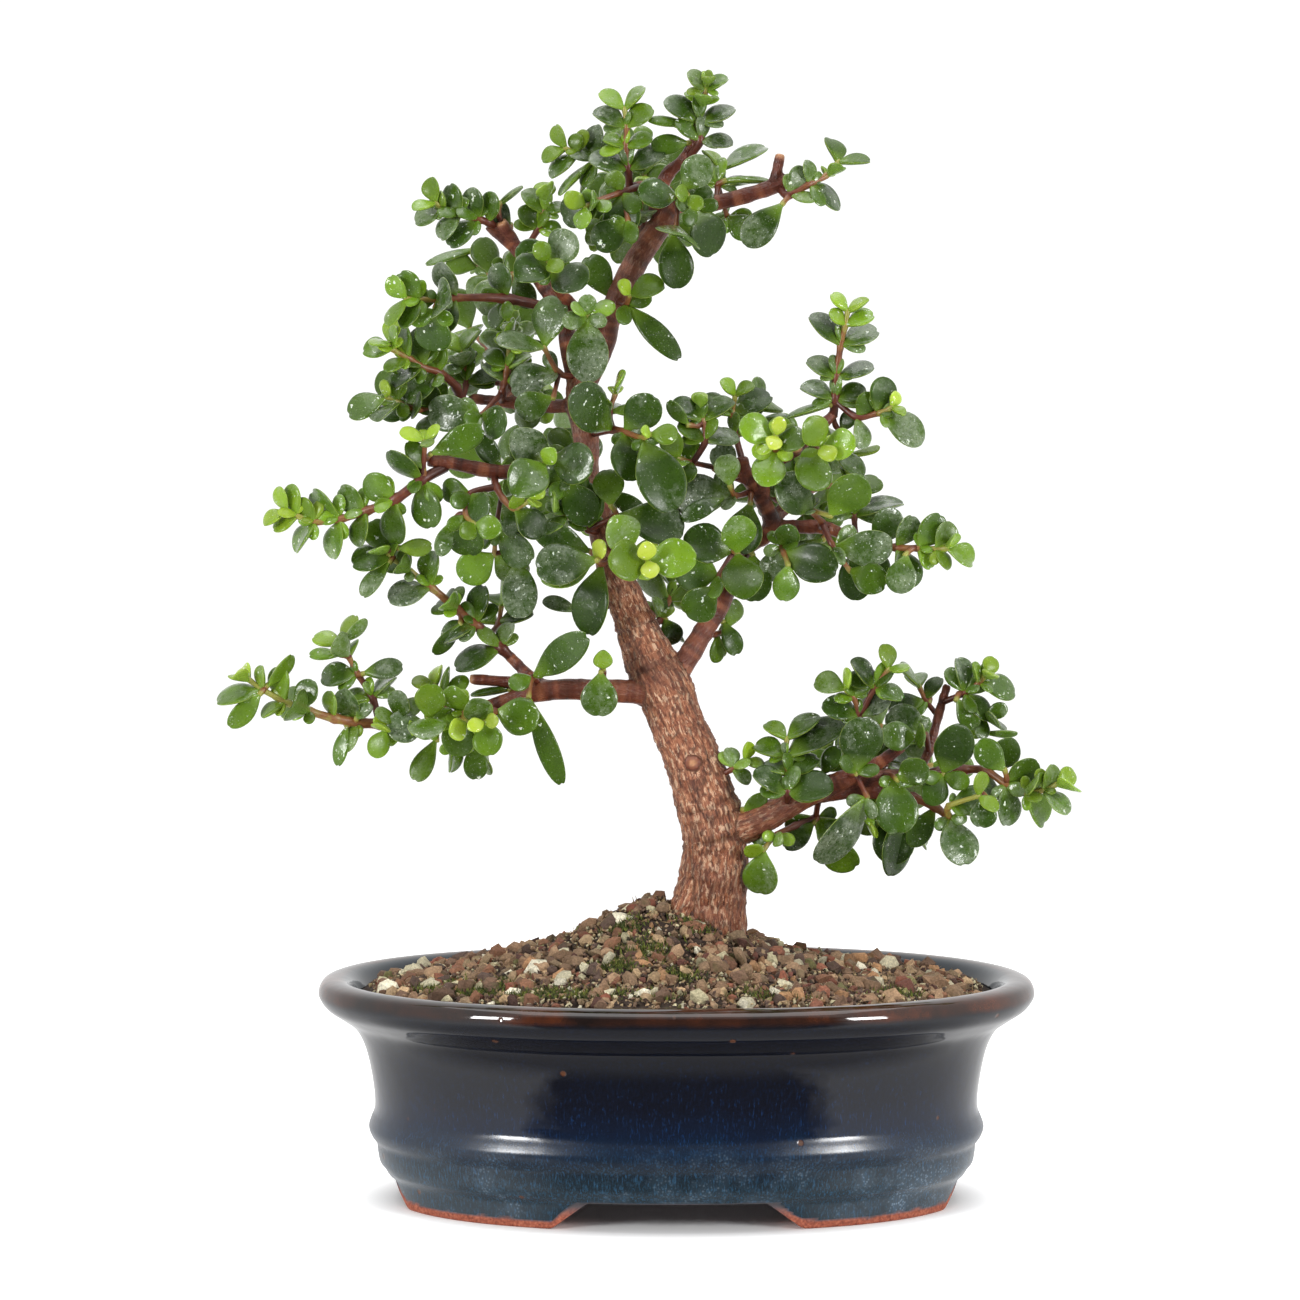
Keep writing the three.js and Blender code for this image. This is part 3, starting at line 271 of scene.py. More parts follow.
blue = add_node(tree, "Math", {0: blue, 1: blue_low}, operation="MULTIPLY")
teal = add_node(tree, "MapRange", {0: streaks, 1: 0.5, 2: 0.66})
teal_low = add_node(tree, "MapRange", {0: tiers, 1: 0.42, 2: 0.2, 3: 0.0, 4: 0.42})
teal = add_node(tree, "Math", {0: teal, 1: teal_low}, operation="MULTIPLY")
dust = add_node(tree, "TexVoronoi", {"Vector": place, "Scale": 1100}).outputs["Distance"]
dust = add_node(tree, "MapRange", {0: dust, 1: 0.42, 2: 0.12})
dust_place = add_node(tree, "MapRange", {0: cloud, 1: 0.5, 2: 0.66})
dust_low = add_node(tree, "MapRange", {0: tiers, 1: 0.4, 2: 0.1})
dust = add_node(tree, "Math", {0: dust, 1: 0.7, 2: 0.14}, operation="MULTIPLY_ADD")
dust = add_node(tree, "Math", {0: dust, 1: dust_place}, operation="MULTIPLY")
dust = add_node(tree, "Math", {0: dust, 1: dust_low}, operation="MULTIPLY")
for share, code in ((blue, "#17447a"), (teal, "#2b5870"), (dust, "#7c93a8"), (marks[2], "#0e1c26")):
    body = add_node(tree, "Mix", {0: share, 6: body, 7: colour(code)}, data_type="RGBA")
thinned = add_node(tree, "Math", {0: wander, 1: 3.5, 2: marks[0]}, operation="MULTIPLY_ADD")
thinned = add_node(tree, "MapRange", {0: thinned, 1: 0.35, 2: 0.75})
brown = add_node(tree, "ValToRGB", {0: cloud}, stops=[
    (0.35, "#140c0a"), (0.5, "#2c160d"), (0.64, "#4c2411")])
body = add_node(tree, "Mix", {0: thinned, 6: body, 7: brown}, data_type="RGBA")
pits = add_node(tree, "TexVoronoi", {"Vector": place, "Scale": 85}).outputs["Distance"]
pits = add_node(tree, "MapRange", {0: pits, 1: 0.085, 2: 0.055})
body = add_node(tree, "Mix", {0: pits, 6: body, 7: colour("#4a2b1a")}, data_type="RGBA")
clay_grain = add_node(tree, "TexNoise", {"Vector": place, "Scale": 1400, "Detail": 2})
clay = add_node(tree, "ValToRGB", {0: clay_grain}, stops=[
    (0.25, "#6b3020"), (0.5, "#9c5038"), (0.8, "#bd7558")])
# Painted shade: the bare clay above the soles, under the pot and between the feet, turns grey.
painted_under_shade = add_node(tree, "MapRange", {0: height_node, 1: 0.003, 2: 0.0065})
clay = add_node(tree, "Mix", {0: painted_under_shade, 6: clay, 7: colour("#4c4548")}, data_type="RGBA")
body = add_node(tree, "Mix", {0: marks[1], 6: body, 7: clay}, data_type="RGBA")
crystal_band = add_node(tree, "MapRange", {0: height_node, 1: 0.0262, 2: 0.0242, 3: 0.06, 4: 0.25})
rough = add_node(tree, "MapRange", {0: marks[1], 3: crystal_band, 4: 0.85})
peel = add_node(tree, "TexNoise", {"Vector": place, "Scale": 90, "Detail": 2})
relief = add_node(tree, "Math", {0: pits, 1: -0.6, 2: peel}, operation="MULTIPLY_ADD")
relief = add_node(tree, "Math", {0: clay_grain, 1: marks[1], 2: relief}, operation="MULTIPLY_ADD")
bump = add_node(tree, "Bump", {"Strength": 0.3, "Distance": 0.0004, "Height": relief})
set_inputs(tree, shader, {"Base Color": body, "Roughness": rough, "IOR": 1.55, "Normal": bump})

pot = make_piece("stoneware_pot", pot_points, pot_faces + [first, last], glaze,
                 attributes={"glaze": np.stack([thin, bare, inside], 1)})
for side in (-1, 1):
    bpy.ops.mesh.primitive_cylinder_add(
        vertices=40, radius=DRAIN_RADIUS * MM, depth=20 * MM,
        location=((POT_MIDDLE + side * DRAIN_PLACE) * MM, 0, FLOOR_TOP * MM))
    drill = bpy.context.object
    cut = pot.modifiers.new("drain", "BOOLEAN")
    cut.object = drill
    cut.operation = "DIFFERENCE"
    cut.solver = "MANIFOLD"  # keeps the glaze attribute
    drilled = with_modifiers(pot)
    pot.modifiers.clear()
    pot.data = drilled
    bpy.data.objects.remove(drill)
pot.data.set_sharp_from_angle(angle=math.radians(50))
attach(pot, "root")
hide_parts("pot")

# ---- Drain screens ----
# Squares of black moulded polyethylene mesh that keep the soil in over the drain holes.
# They lie loose on the pot's floor, under the soil.
screen_mesh, tree, shader = new_material("black_polyethylene")
# Moulded plastic: black all through, with a dull even sheen and a fine grain.
place = add_node(tree, "TexCoord").outputs["Object"]
grain = add_node(tree, "TexNoise", {"Vector": place, "Scale": 2500})
bump = add_node(tree, "Bump", {"Strength": 0.2, "Distance": 0.0002, "Height": grain})
set_inputs(tree, shader, {"Base Color": colour("#1d2023"), "Roughness": 0.45, "Normal": bump})
for name in ("drain_screen_left", "drain_screen_right"):
    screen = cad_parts[name]
    screen.data.materials.clear()
    screen.data.materials.append(screen_mesh)

# ---- Soil ----
# Open bonsai mix heaped to the trunk: brown lava, tan akadama, cream pumice and dark fines, 1 to 6 mm,
# poured loose and watered in, with some moss grown over it.
SOIL_EDGE = 61
SOIL_CONE = 23
SOIL_SPREAD = 34
SOIL_FALL = 6
SOIL_PEAK = (-5.5, 0)
TRUNK_FOOT = (10.5, 0)
SOIL_SKIN = 0.9  # the stones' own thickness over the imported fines
SOIL_REACH = 88.2  # half the length of the soil where it meets the pot's inner wall
STONES = 5000
CRUMBS = 9000
rng = np.random.default_rng(11)


def mound(x, y):
    """Edge height less a steep skirt at the rim, plus a cone beside the trunk; from the pot's middle."""
    rim = np.hypot(x / (LIP_LENGTH / 2), y / (LIP_WIDTH / 2))
    to_peak = np.hypot(x - SOIL_PEAK[0], y - SOIL_PEAK[1])
    return SOIL_EDGE - SOIL_FALL * rim ** 6 + SOIL_CONE * np.exp(-((to_peak / SOIL_SPREAD) ** 1.4))


soil_shares = np.linspace(0.985, 0.02, 72)
soil_columns = 260
around = np.linspace(0, 2 * np.pi, soil_columns, endpoint=False)
rim_x, rim_y = oval(SOIL_REACH, around)
top_x, top_y = rim_x * soil_shares[:, None], rim_y * soil_shares[:, None]
top_flat = np.stack([top_x, top_y, 0 * top_x], -1).reshape(-1, 3)
lumps = (value_noise(top_flat, 7, 1) * 0.9 + value_noise(top_flat, 2.6, 2) * 0.6
         + value_noise(top_flat, 1.1, 5) * 0.4).reshape(top_x.shape)
top_z = mound(top_x, top_y) - SOIL_SKIN + lumps
sides = [(71.6, 13.3), (78.6, 22), (81.6, 46), (SOIL_REACH, 57.6)]
side_rings = [np.stack([*oval(a, around), np.full(soil_columns, z)], -1) for a, z in sides]
soil_points = np.vstack(side_rings + [np.stack([top_x, top_y, top_z], -1).reshape(-1, 3)])
soil_points[:, 0] += POT_MIDDLE
soil_rows = len(sides) + len(soil_shares)
soil_faces = grid_faces(soil_rows, soil_columns).tolist()
soil_faces.append(list(range(soil_columns))[::-1])
soil_faces.append([(soil_rows - 1) * soil_columns + c for c in range(soil_columns)])

mix, tree, shader = new_material("bonsai_soil_mix")
# Porous volcanic grains and baked clay: matt, dusty, each grain of its own colour, damp fines between.
tint = add_node(tree, "Attribute", attribute_name="tint").outputs["Vector"]
place = add_node(tree, "TexCoord").outputs["Object"]
pores = add_node(tree, "TexNoise", {"Vector": place, "Scale": 1600, "Detail": 4, "Roughness": 0.7})
shade = add_node(tree, "MapRange", {0: pores, 1: 0.3, 2: 0.7, 3: 0.55, 4: 1.35})
tone = add_node(tree, "VectorMath", {0: tint, "Scale": shade}, operation="SCALE")
patch = add_node(tree, "TexNoise", {"Vector": place, "Scale": 260, "Detail": 3})
patch = add_node(tree, "MapRange", {0: patch, 1: 0.56, 2: 0.7, 3: 0.0, 4: 0.5})
tone = add_node(tree, "Mix", {0: patch, 6: tone, 7: colour("#4d4a25")}, data_type="RGBA")
bump = add_node(tree, "Bump", {"Strength": 0.7, "Distance": 0.0004, "Height": pores})
set_inputs(tree, shader, {"Base Color": tone, "Roughness": 0.9, "Normal": bump})
fines = np.array(colour("#33241b")[:3])
soil_base = make_piece("packed_soil", soil_points, soil_faces, mix,
                       attributes={"tint": np.tile(fines, (len(soil_points), 1))})

# A stone starts as an octahedron split once, six corners and the twelve middles of its edges, on a ball.
corner_places = np.vstack([np.eye(3), -np.eye(3)])
octahedron = np.array([(i, j, k) if (i == 3) == ((j == 4) != (k == 5)) else (i, k, j)
                       for i in (0, 3) for j in (1, 4) for k in (2, 5)])
edge_pairs = [(i, j) for i in range(6) for j in range(i + 1, 6) if j != i + 3]
ball = np.vstack([corner_places, [(corner_places[i] + corner_places[j]) / 2 ** 0.5 for i, j in edge_pairs]])
middle_of = {pair: 6 + k for k, pair in enumerate(edge_pairs)}
ball_faces = []
for a, b, c in octahedron.tolist():
    ab, bc, ca = (middle_of[tuple(sorted(pair))] for pair in ((a, b), (b, c), (c, a)))
    ball_faces += [(a, ab, ca), (ab, b, bc), (ca, bc, c), (ab, bc, ca)]
ball_faces = np.array(ball_faces)
BROKEN_FACES = 7  # flat fractures on a stone
STREWN = 0.965  # of the soil's reach, how far out stones and crumbs lie
STONE_CLEAR = 8  # stones and crumbs keep this far from the middle of the trunk's foot
CRUMB_CLEAR = 7
GRAINS = [  # share, least and greatest radius, colours
    (0.46, 0.55, 2.9, ("#765b48", "#8e7056", "#5a463c", "#a08265", "#815a43")),
    (0.28, 0.55, 2.5, ("#a68c6c", "#bb9d78", "#8b755b", "#ab815c")),
    (0.08, 0.8, 2.8, ("#d6cdae", "#e4dcc3", "#bfb592", "#cdc4a6")),
    (0.15, 0.8, 2.5, ("#6e4438", "#844f3c", "#50352c", "#8f5c47")),
    (0.03, 0.8, 2.0, ("#7c7649", "#8a8356")),
]


def scatter_oval(count):
    """Even random places in the oval: the radius is the root of a random share of its area."""
    share = STREWN * np.sqrt(rng.random(count))
    x, y = oval(SOIL_REACH, rng.random(count) * 2 * np.pi)
    return x * share, y * share


def clear_of_trunk(x, y, distance):
    """The places that lie further than that distance from the trunk's foot."""
    keep = np.hypot(x - TRUNK_FOOT[0], y) > distance
    return x[keep], y[keep]


def spread_faces(faces, corners, count):
    """The faces of one small body, repeated for count bodies with that many corners each."""
    return (np.asarray(faces)[None] + corners * np.arange(count)[:, None, None]).reshape(-1, 3)


def turned(count):
    """Random turning matrices from normalised random quaternions."""
    w, x, y, z = (lambda q: q / np.linalg.norm(q, axis=0))(rng.normal(size=(4, count)))
    cells = [1 - 2 * (y * y + z * z), 2 * (x * y - z * w), 2 * (x * z + y * w),
             2 * (x * y + z * w), 1 - 2 * (x * x + z * z), 2 * (y * z - x * w),
             2 * (x * z - y * w), 2 * (y * z + x * w), 1 - 2 * (x * x + y * y)]
    return np.stack(cells, -1).reshape(-1, 3, 3)


stone_points, stone_tints = [], []
for share, least, most, codes in GRAINS:
    x, y = clear_of_trunk(*scatter_oval(int(STONES * share)), STONE_CLEAR)
    count = len(x)
    radius = least + (most - least) * rng.random(count) ** 3.6
    fracture = rng.normal(size=(count, BROKEN_FACES, 3))
    fracture /= np.linalg.norm(fracture, axis=2, keepdims=True)
    depth = 0.42 + 0.45 * rng.random((count, BROKEN_FACES, 1))
    facing = np.einsum("nfi,vi->nfv", fracture, ball)
    reach = np.where(facing > 0.05, depth / np.maximum(facing, 0.05), 9).min(axis=1)
    stone = ball[None] * np.minimum(reach, 1)[..., None] * (1 + 0.8 * (rng.random((count, 1, 3)) - 0.5))
    stone = np.einsum("nij,nkj->nki", turned(count), stone) * radius[:, None, None] * 1.15
    z = mound(x, y) - SOIL_SKIN + radius * 0.65 * rng.random(count)
    stone_points.append(stone + np.stack([x + POT_MIDDLE, y, z], -1)[:, None])
    palette = np.array([colour(code)[:3] for code in codes])
    tint = palette[rng.integers(len(codes), size=count)] * (0.65 + 0.6 * rng.random((count, 1)))
    stone_tints.append(np.repeat(tint, len(ball), axis=0))
stone_points = np.vstack([p.reshape(-1, 3) for p in stone_points])
stone_tints = np.vstack(stone_tints)
stone_faces = spread_faces(ball_faces, len(ball), len(stone_points) // len(ball))
stones = make_piece("soil_granules", stone_points, stone_faces, mix, smooth=False,
                    attributes={"tint": stone_tints})

# Crumbs and fines between the granules: small octahedra, one in twelve drawn out to a chip or a straw.
x, y = clear_of_trunk(*scatter_oval(CRUMBS), CRUMB_CLEAR)
count = len(x)
radius = 0.35 + 0.5 * rng.random(count) ** 1.5
stretch = 1 + 0.6 * (rng.random((count, 1, 3)) - 0.5)
drawn_out = rng.random(count) < 1 / 12
stretch[drawn_out] = (3.6, 0.42, 0.3)
crumb = corner_places[None] * stretch * (1 + 0.5 * (rng.random((count, 6, 1)) - 0.5))
crumb = np.einsum("nij,nkj->nki", turned(count), crumb) * radius[:, None, None]
z = mound(x, y) - SOIL_SKIN + 0.55 + 0.9 * rng.random(count)
crumb_points = (crumb + np.stack([x + POT_MIDDLE, y, z], -1)[:, None]).reshape(-1, 3)
crumb_codes = ("#4d3b30", "#624d40", "#7b6251", "#3a2e26", "#9a8065", "#b19a73", "#8a705b", "#c9bf9a")
palette = np.array([colour(code)[:3] for code in crumb_codes])
tint = palette[rng.integers(len(crumb_codes), size=count)] * (0.75 + 0.5 * rng.random((count, 1)))
tint[drawn_out] = colour("#8c7350")[:3]
crumbs = make_piece("soil_crumbs", crumb_points, spread_faces(octahedron, 6, count), mix, smooth=False,
                    attributes={"tint": np.repeat(tint, 6, axis=0)})
for piece in (soil_base, stones, crumbs):
    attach(piece, "root")
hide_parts("soil")

# Cushions of moss: short upright leaves, each a three-sided spike, in patches where water stands.
MOSS_LIMIT = (84, 59)  # half length and half width of the oval that moss grows in
THIRDS = (0, 2.094, 4.189)  # of a turn
MOSS = [  # middle, reach along and across the pot, number of leaves
    (-24, -54, 13, 4, 420), (-42, -49, 12, 4, 420), (-56, -40, 8, 5, 300), (-66, -26, 7, 7, 220),
    (-8, -26, 7, 5, 260), (-14, -14, 5, 4, 160), (6, -12, 5, 3, 120), (24, -50, 10, 3, 120),
    (60, -34, 8, 5, 160), (40, 30, 12, 10, 200), (-40, 36, 14, 8, 240), (-6, -58, 8, 2, 160),
    (-16, -34, 6, 3, 200), (2, -40, 5, 3, 140), (-52, -34, 8, 5, 240),
]
moss_at = np.vstack([rng.normal(size=(count, 2)) * (reach_x / 1.6, reach_y / 1.6) + (middle_x, middle_y)
                     for middle_x, middle_y, reach_x, reach_y, count in MOSS])
moss_at = moss_at[np.hypot(moss_at[:, 0] / MOSS_LIMIT[0], moss_at[:, 1] / MOSS_LIMIT[1]) < 0.97]
count = len(moss_at)
rooted = np.stack([moss_at[:, 0] + POT_MIDDLE, moss_at[:, 1], mound(*moss_at.T) - SOIL_SKIN + 1.0], -1)
lean = np.stack([rng.normal(size=count) * 0.5, rng.normal(size=count) * 0.5, np.ones(count)], -1)
tall = (0.7 + 1.4 * rng.random(count))[:, None]
spin = rng.random(count) * 2 * np.pi
spikes = np.stack([rooted + 0.28 * np.stack([np.cos(spin + a), np.sin(spin + a), 0 * spin], -1)
                   for a in THIRDS] + [rooted + lean * tall], 1)
moss_faces = spread_faces([(0, 1, 3), (1, 2, 3), (2, 0, 3), (2, 1, 0)], 4, count)
moss, tree, shader = new_material("living_moss")
# Living moss: dark green and velvety, with paler tips, no gloss.
place = add_node(tree, "TexCoord").outputs["Object"]
patchy = add_node(tree, "TexNoise", {"Vector": place, "Scale": 700, "Detail": 2})
greens = add_node(tree, "ValToRGB", {0: patchy}, stops=[
    (0.3, "#252c10"), (0.5, "#465019"), (0.7, "#7f862f")])
set_inputs(tree, shader, {"Base Color": greens, "Roughness": 0.8})
moss_tufts = make_piece("moss_tufts", spikes.reshape(-1, 3), moss_faces, moss, smooth=False)
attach(moss_tufts, "root")

# ---- Trunk and branches ----
# The woody plant: trunk, root flare, leader, fork and branches, grown as one. The old wood has brown
# bark with fine fissures along it; the young limbs are smoother and red-brown, with faint rings.
EYE_X, EYE_Z, EYE_DISTANCE = -7.3, 216, 1200  # the front view that the tables below are drawn in
WOOD = {  # rows: x, z and depth in the front view, radius
    "trunk": [
        [10.5, 55, 0, 7.5], [10.5, 80, 0, 8.8], [11.1, 97.3, -1, 9], [9.7, 105.7, -2, 8.7],
        [4.4, 122.4, -2, 7.9], [-0.1, 133.5, -1, 7.7], [-3.1, 142, 0, 7.8], [-7.3, 150.3, 0, 6.8],
        [-14, 167, 1, 5], [-19.5, 183, 1.5, 4.1], [-24.5, 200, 3, 3.7], [-25, 212, 3, 3.5],
        [-26.5, 224, 4, 4.2], [-27, 230, 4, 3.4],
    ],
    "left_root": [[7, 98, -2, 5], [4.6, 88, -3, 4.2], [0.5, 76, -5, 3.4]],
    "right_root": [[13, 96, 1, 6], [14.6, 86, 2, 4.7], [16, 70, 3, 3.6]],
    "back_root": [[11, 96, 4, 6], [7, 75, 14, 2.8]],
    "pruning_scar": [[4.6, 121.4, -7, 2.5], [4.6, 121.6, -10.4, 2.0]],
    "leader": [
        [-26.5, 225, 4, 3.6], [-20, 238, 3, 3.2], [-18, 247, 2, 3.2], [-11, 261, 0, 3.5],
        [-3, 273, 0, 3.2], [0.5, 276.8, -1, 2.8], [8, 276.5, -2, 2.4], [20, 279.2, -3, 2.3],
        [33.5, 283.8, -5, 2],
    ],
    "leader_stub": [[26.8, 281, -4, 1.7], [28.8, 290.5, -5, 1.5]],
    "crown": [
        [-6, 274, 0, 2.4], [-3, 284, 0, 2], [2, 289, -1, 1.7], [5, 294, -1, 1.6], [7.8, 295, -2, 1.6],
    ],
    "crown_twig": [[-5, 279, 0, 1.6], [-9, 282, 0, 1.4], [-13.5, 281, 0, 1.3]],
    "left_fork": [
        [-27, 226, 4, 3.3], [-30, 238, 6, 2.6], [-31.5, 246, 7, 2.6], [-42, 262, 8, 2.3],
        [-52, 271, 7, 1.8],
    ],
    "left_fork_stub": [[-45, 266, 8, 1.9], [-48.5, 272, 5, 1.6]],
    "rosette_branch": [
        [-20, 243, 2, 2.2], [-27, 247, -3, 1.9], [-31, 251, -8, 1.8], [-34, 254.5, -12, 1.5],
    ],
    "upper_left": [[-26, 221, 4, 2.2], [-38, 221, 8, 1.9], [-57, 223, 10, 1.5]],
    "mid_left": [
        [-25, 207, 2, 2.6], [-38, 205, -4, 2.3], [-48, 202.5, -7, 2.2], [-62, 205, -9, 2],
        [-69, 206, -10, 2],
    ],
    "low_left": [
        [-1, 141, 0, 4.2], [-12, 141.5, -3, 3.3], [-34, 142, -5, 3], [-50, 138, -5, 2.1],
        [-60, 134, -5, 1.8],
    ],
    "low_left_stub": [[-32, 142, -4, 2.6], [-45, 144, -2, 1.8], [-57.5, 145, -1, 1.5]],
    "diagonal": [[-36, 142, -3, 2.2], [-41, 146, -1, 1.8], [-47, 152, 1, 1.6]],
    "right": [
        [-4, 141, 0, 4], [1.9, 149, 1, 3.4], [8.6, 160, 3, 3], [12.8, 167, 4, 2.8], [19.2, 181, 4, 2.4],
        [24.7, 185, 3, 2.4], [26, 190.6, 2, 2.4], [19, 203, 0, 2.1], [18.3, 207, 0, 2],
    ],
    "right_arm": [[25, 187, 3, 2.2], [40, 187.3, 4, 2], [47, 185, 4, 1.7]],
    "right_inner_arm": [[19.5, 200.5, 0, 1.8], [10, 204, -3, 1.4]],
    "right_upper": [[24, 193, 2, 2.2], [25, 203, -1, 2], [34, 209.5, -4, 1.9], [44, 219, -1, 1.5]],
    "right_upper_stub": [[33, 208.5, -4, 1.9], [33.5, 209.5, -9, 1.8]],
    "low_right": [
        [8, 100, -2, 5], [25, 106.5, -5, 4.2], [37, 113, -7, 3.4], [50, 118.5, -7, 2.4],
        [57, 122, -8, 1.9], [63, 126.5, -9, 1.8],
    ],
    "low_right_under": [[36, 112, -6, 2.4], [48, 113.3, -4, 2], [60, 113, -3, 1.7]],
    "low_right_end": [[46, 117, -6, 2.2], [58, 118, -3, 2], [70, 118.5, -1, 1.8]],
    "low_right_up": [[50, 118.5, -7, 2], [51, 125, -7, 1.9], [51, 131, -7, 1.7]],
    "low_right_stub": [[66, 118.3, -1, 1.6], [70, 124, 1, 1.5], [73, 135, 3, 1.4], [75.5, 143.5, 3, 1.4]],
    "back_top": [[-9, 264, 0, 2.4], [-9, 270, 14, 1.8], [-11, 276, 26, 1.3]],
    "back_left": [[-44, 221.5, 9, 1.8], [-48, 227, 24, 1.5], [-50, 233, 36, 1.2]],
    "back_middle": [[-23, 196, 2, 2.4], [-30, 199, 18, 1.8], [-38, 201, 32, 1.4]],
    "back_right": [[26, 189, 2, 2.2], [32, 194, 16, 1.8], [38, 198, 28, 1.4]],
    "back_low_right": [[42, 115.5, -7, 2.4], [50, 117, 10, 1.9], [58, 119, 24, 1.4]],
}
LIMB_STEPS = 6  # rings of the mesh for each row of a limb
LIMB_COLUMNS = 20
BARK_GRAIN = 0.7  # pitch of the fused surface
OLD_RADIUS = (2.6, 5.5)  # the bark turns old between these radii
OLD_HEIGHT = (97, 106)  # below this it is old on the roots too
SCARRED = 130  # leaf scars stop here along the trunk; the roots have some too
LOTS = 40  # the bark's points are dealt with in so many lots, to save memory
LIMB_SHIFT = 37  # moves the grain along from limb to limb, so that no two are alike
LEAF_SCARS = (46.5, 52.2, 56, 68, 77, 86, 97, 109, 121)  # along the trunk, from its foot in the soil


def seen(rows):
    """Points drawn in the front view as x, z, depth, moved along the sight line to their real depth."""
    x, z, depth = np.asarray([row[:3] for row in rows], float).T
    scale = (EYE_DISTANCE + depth) / EYE_DISTANCE
    return np.stack([EYE_X + (x - EYE_X) * scale + POT_MIDDLE, depth, EYE_Z + (z - EYE_Z) * scale], -1)


def tube(path, radii, columns):
    """Rings of that radius round a path, each square to it; the ring's zero direction is carried along."""
    along = np.gradient(path, axis=0)
    along /= np.linalg.norm(along, axis=1, keepdims=True)
    across = np.empty_like(along)
    carried = np.array([0.3, 1.0, 0.2])
    for i, direction in enumerate(along):
        carried = carried - direction * (carried @ direction)
        carried /= np.linalg.norm(carried)
        across[i] = carried
    other = np.cross(along, across)
    angle = np.linspace(0, 2 * np.pi, columns, endpoint=False)
    rings = across[:, None] * np.cos(angle)[None, :, None] + other[:, None] * np.sin(angle)[None, :, None]
    return path[:, None] + rings * radii[:, None, None]


def closed_tube(path, radii, columns, offset):
    """Points and faces of a tube that is closed by one flat face at each end."""
    points = tube(path, radii, columns).reshape(-1, 3)
    count = len(path)
    faces = grid_faces(count, columns, offset).tolist()
    faces.append([offset + c for c in range(columns)][::-1])
    faces.append([offset + (count - 1) * columns + c for c in range(columns)])
    return points, faces


def vertex_values(mesh, key):
    """Three numbers for each vertex of a mesh: its place for the key co, its normal for the key normal."""
    flat = np.empty(len(mesh.vertices) * 3)
    mesh.vertices.foreach_get(key, flat)
    return flat.reshape(-1, 3)


wood_points, wood_faces, axis_parts = [], [], []
offset = 0
for name, rows in WOOD.items():
    radii = np.array([row[3] for row in rows], float)
    knots = np.hstack([seen(rows), radii[:, None]])
    line = smooth_path(knots, LIMB_STEPS)
    points, faces = closed_tube(line[:, :3], line[:, 3], LIMB_COLUMNS, offset)
    wood_points.append(points)
    wood_faces += faces
    offset += len(points)
    gone = np.concatenate([[0], np.cumsum(np.linalg.norm(np.diff(line[:, :3], axis=0), axis=1))])
    axis_parts.append(np.hstack([line, gone[:, None], np.full((len(line), 1), len(axis_parts))]))
bark, tree, shader = new_material("jade_plant_bark")
rough_wood = make_piece("fused_wood", np.vstack(wood_points), wood_faces, bark)
fuse = rough_wood.modifiers.new("fuse", "REMESH")
fuse.mode = "VOXEL"
fuse.voxel_size = BARK_GRAIN * MM
soften = rough_wood.modifiers.new("soften", "SMOOTH")
soften.factor = 0.5
soften.iterations = 5
fused = with_modifiers(rough_wood)
bpy.data.objects.remove(rough_wood)
spots = vertex_values(fused, "co") / MM
normals = vertex_values(fused, "normal")
# Every point of the bark takes its place along and round the limb that it lies nearest to, or deepest in.
axis = np.vstack(axis_parts)
starts = np.concatenate([part[:-1] for part in axis_parts])
reaches = np.concatenate([part[1:] for part in axis_parts]) - starts
span = reaches[:, :3]
bark_place = np.zeros((len(spots), 3))
limb_radius = np.zeros(len(spots))
for chunk in np.array_split(np.arange(len(spots)), LOTS):
    rel = spots[chunk, None, :] - starts[None, :, :3]
    share = np.clip(np.sum(rel * span, -1) / np.sum(span * span, -1), 0, 1)
    off = np.linalg.norm(rel - share[..., None] * span, axis=-1)
    radius = starts[:, 3] + share * reaches[:, 3]
    best = np.argmin(off - radius, axis=1)
    pick = np.arange(len(chunk))
    run = starts[best, 4] + share[pick, best] * reaches[best, 4]
    limb_radius[chunk] = radius[pick, best]
    side = rel[pick, best] - share[pick, best][:, None] * span[best]
    direction = span[best] / np.linalg.norm(span[best], axis=1, keepdims=True)
    reference = np.cross(direction, [0.1, 1.0, 0.05])
    reference /= np.linalg.norm(reference, axis=1, keepdims=True)
    second = np.cross(direction, reference)
    angle = np.arctan2(np.sum(side * second, -1), np.sum(side * reference, -1))
    round_limb = limb_radius[chunk] * np.stack([np.cos(angle), np.sin(angle)])
    bark_place[chunk] = np.stack([run + LIMB_SHIFT * starts[best, 5], *round_limb], -1)
old = np.maximum(ramp(limb_radius, *OLD_RADIUS), 1 - ramp(spots[:, 2], *OLD_HEIGHT))
stretched = bark_place * (0.28, 1, 1)
fissure = value_noise(stretched, 1.3, 21) + 0.6 * value_noise(stretched, 0.7, 22)
fissure = -np.abs(fissure)
plates = value_noise(bark_place * (0.5, 1, 1), 4.5, 23)
rings = value_noise(bark_place * (1, 0.12, 0.12), 1.6, 24)
swell = value_noise(bark_place, 9, 25)
bark_relief = (old * (0.75 * fissure + 0.45 * plates + 0.35 + 0.25 * rings)
               + (1 - old) * (0.12 * rings + 0.05 * fissure))
bark_relief += 0.35 * swell * ramp(limb_radius, 2, 5)
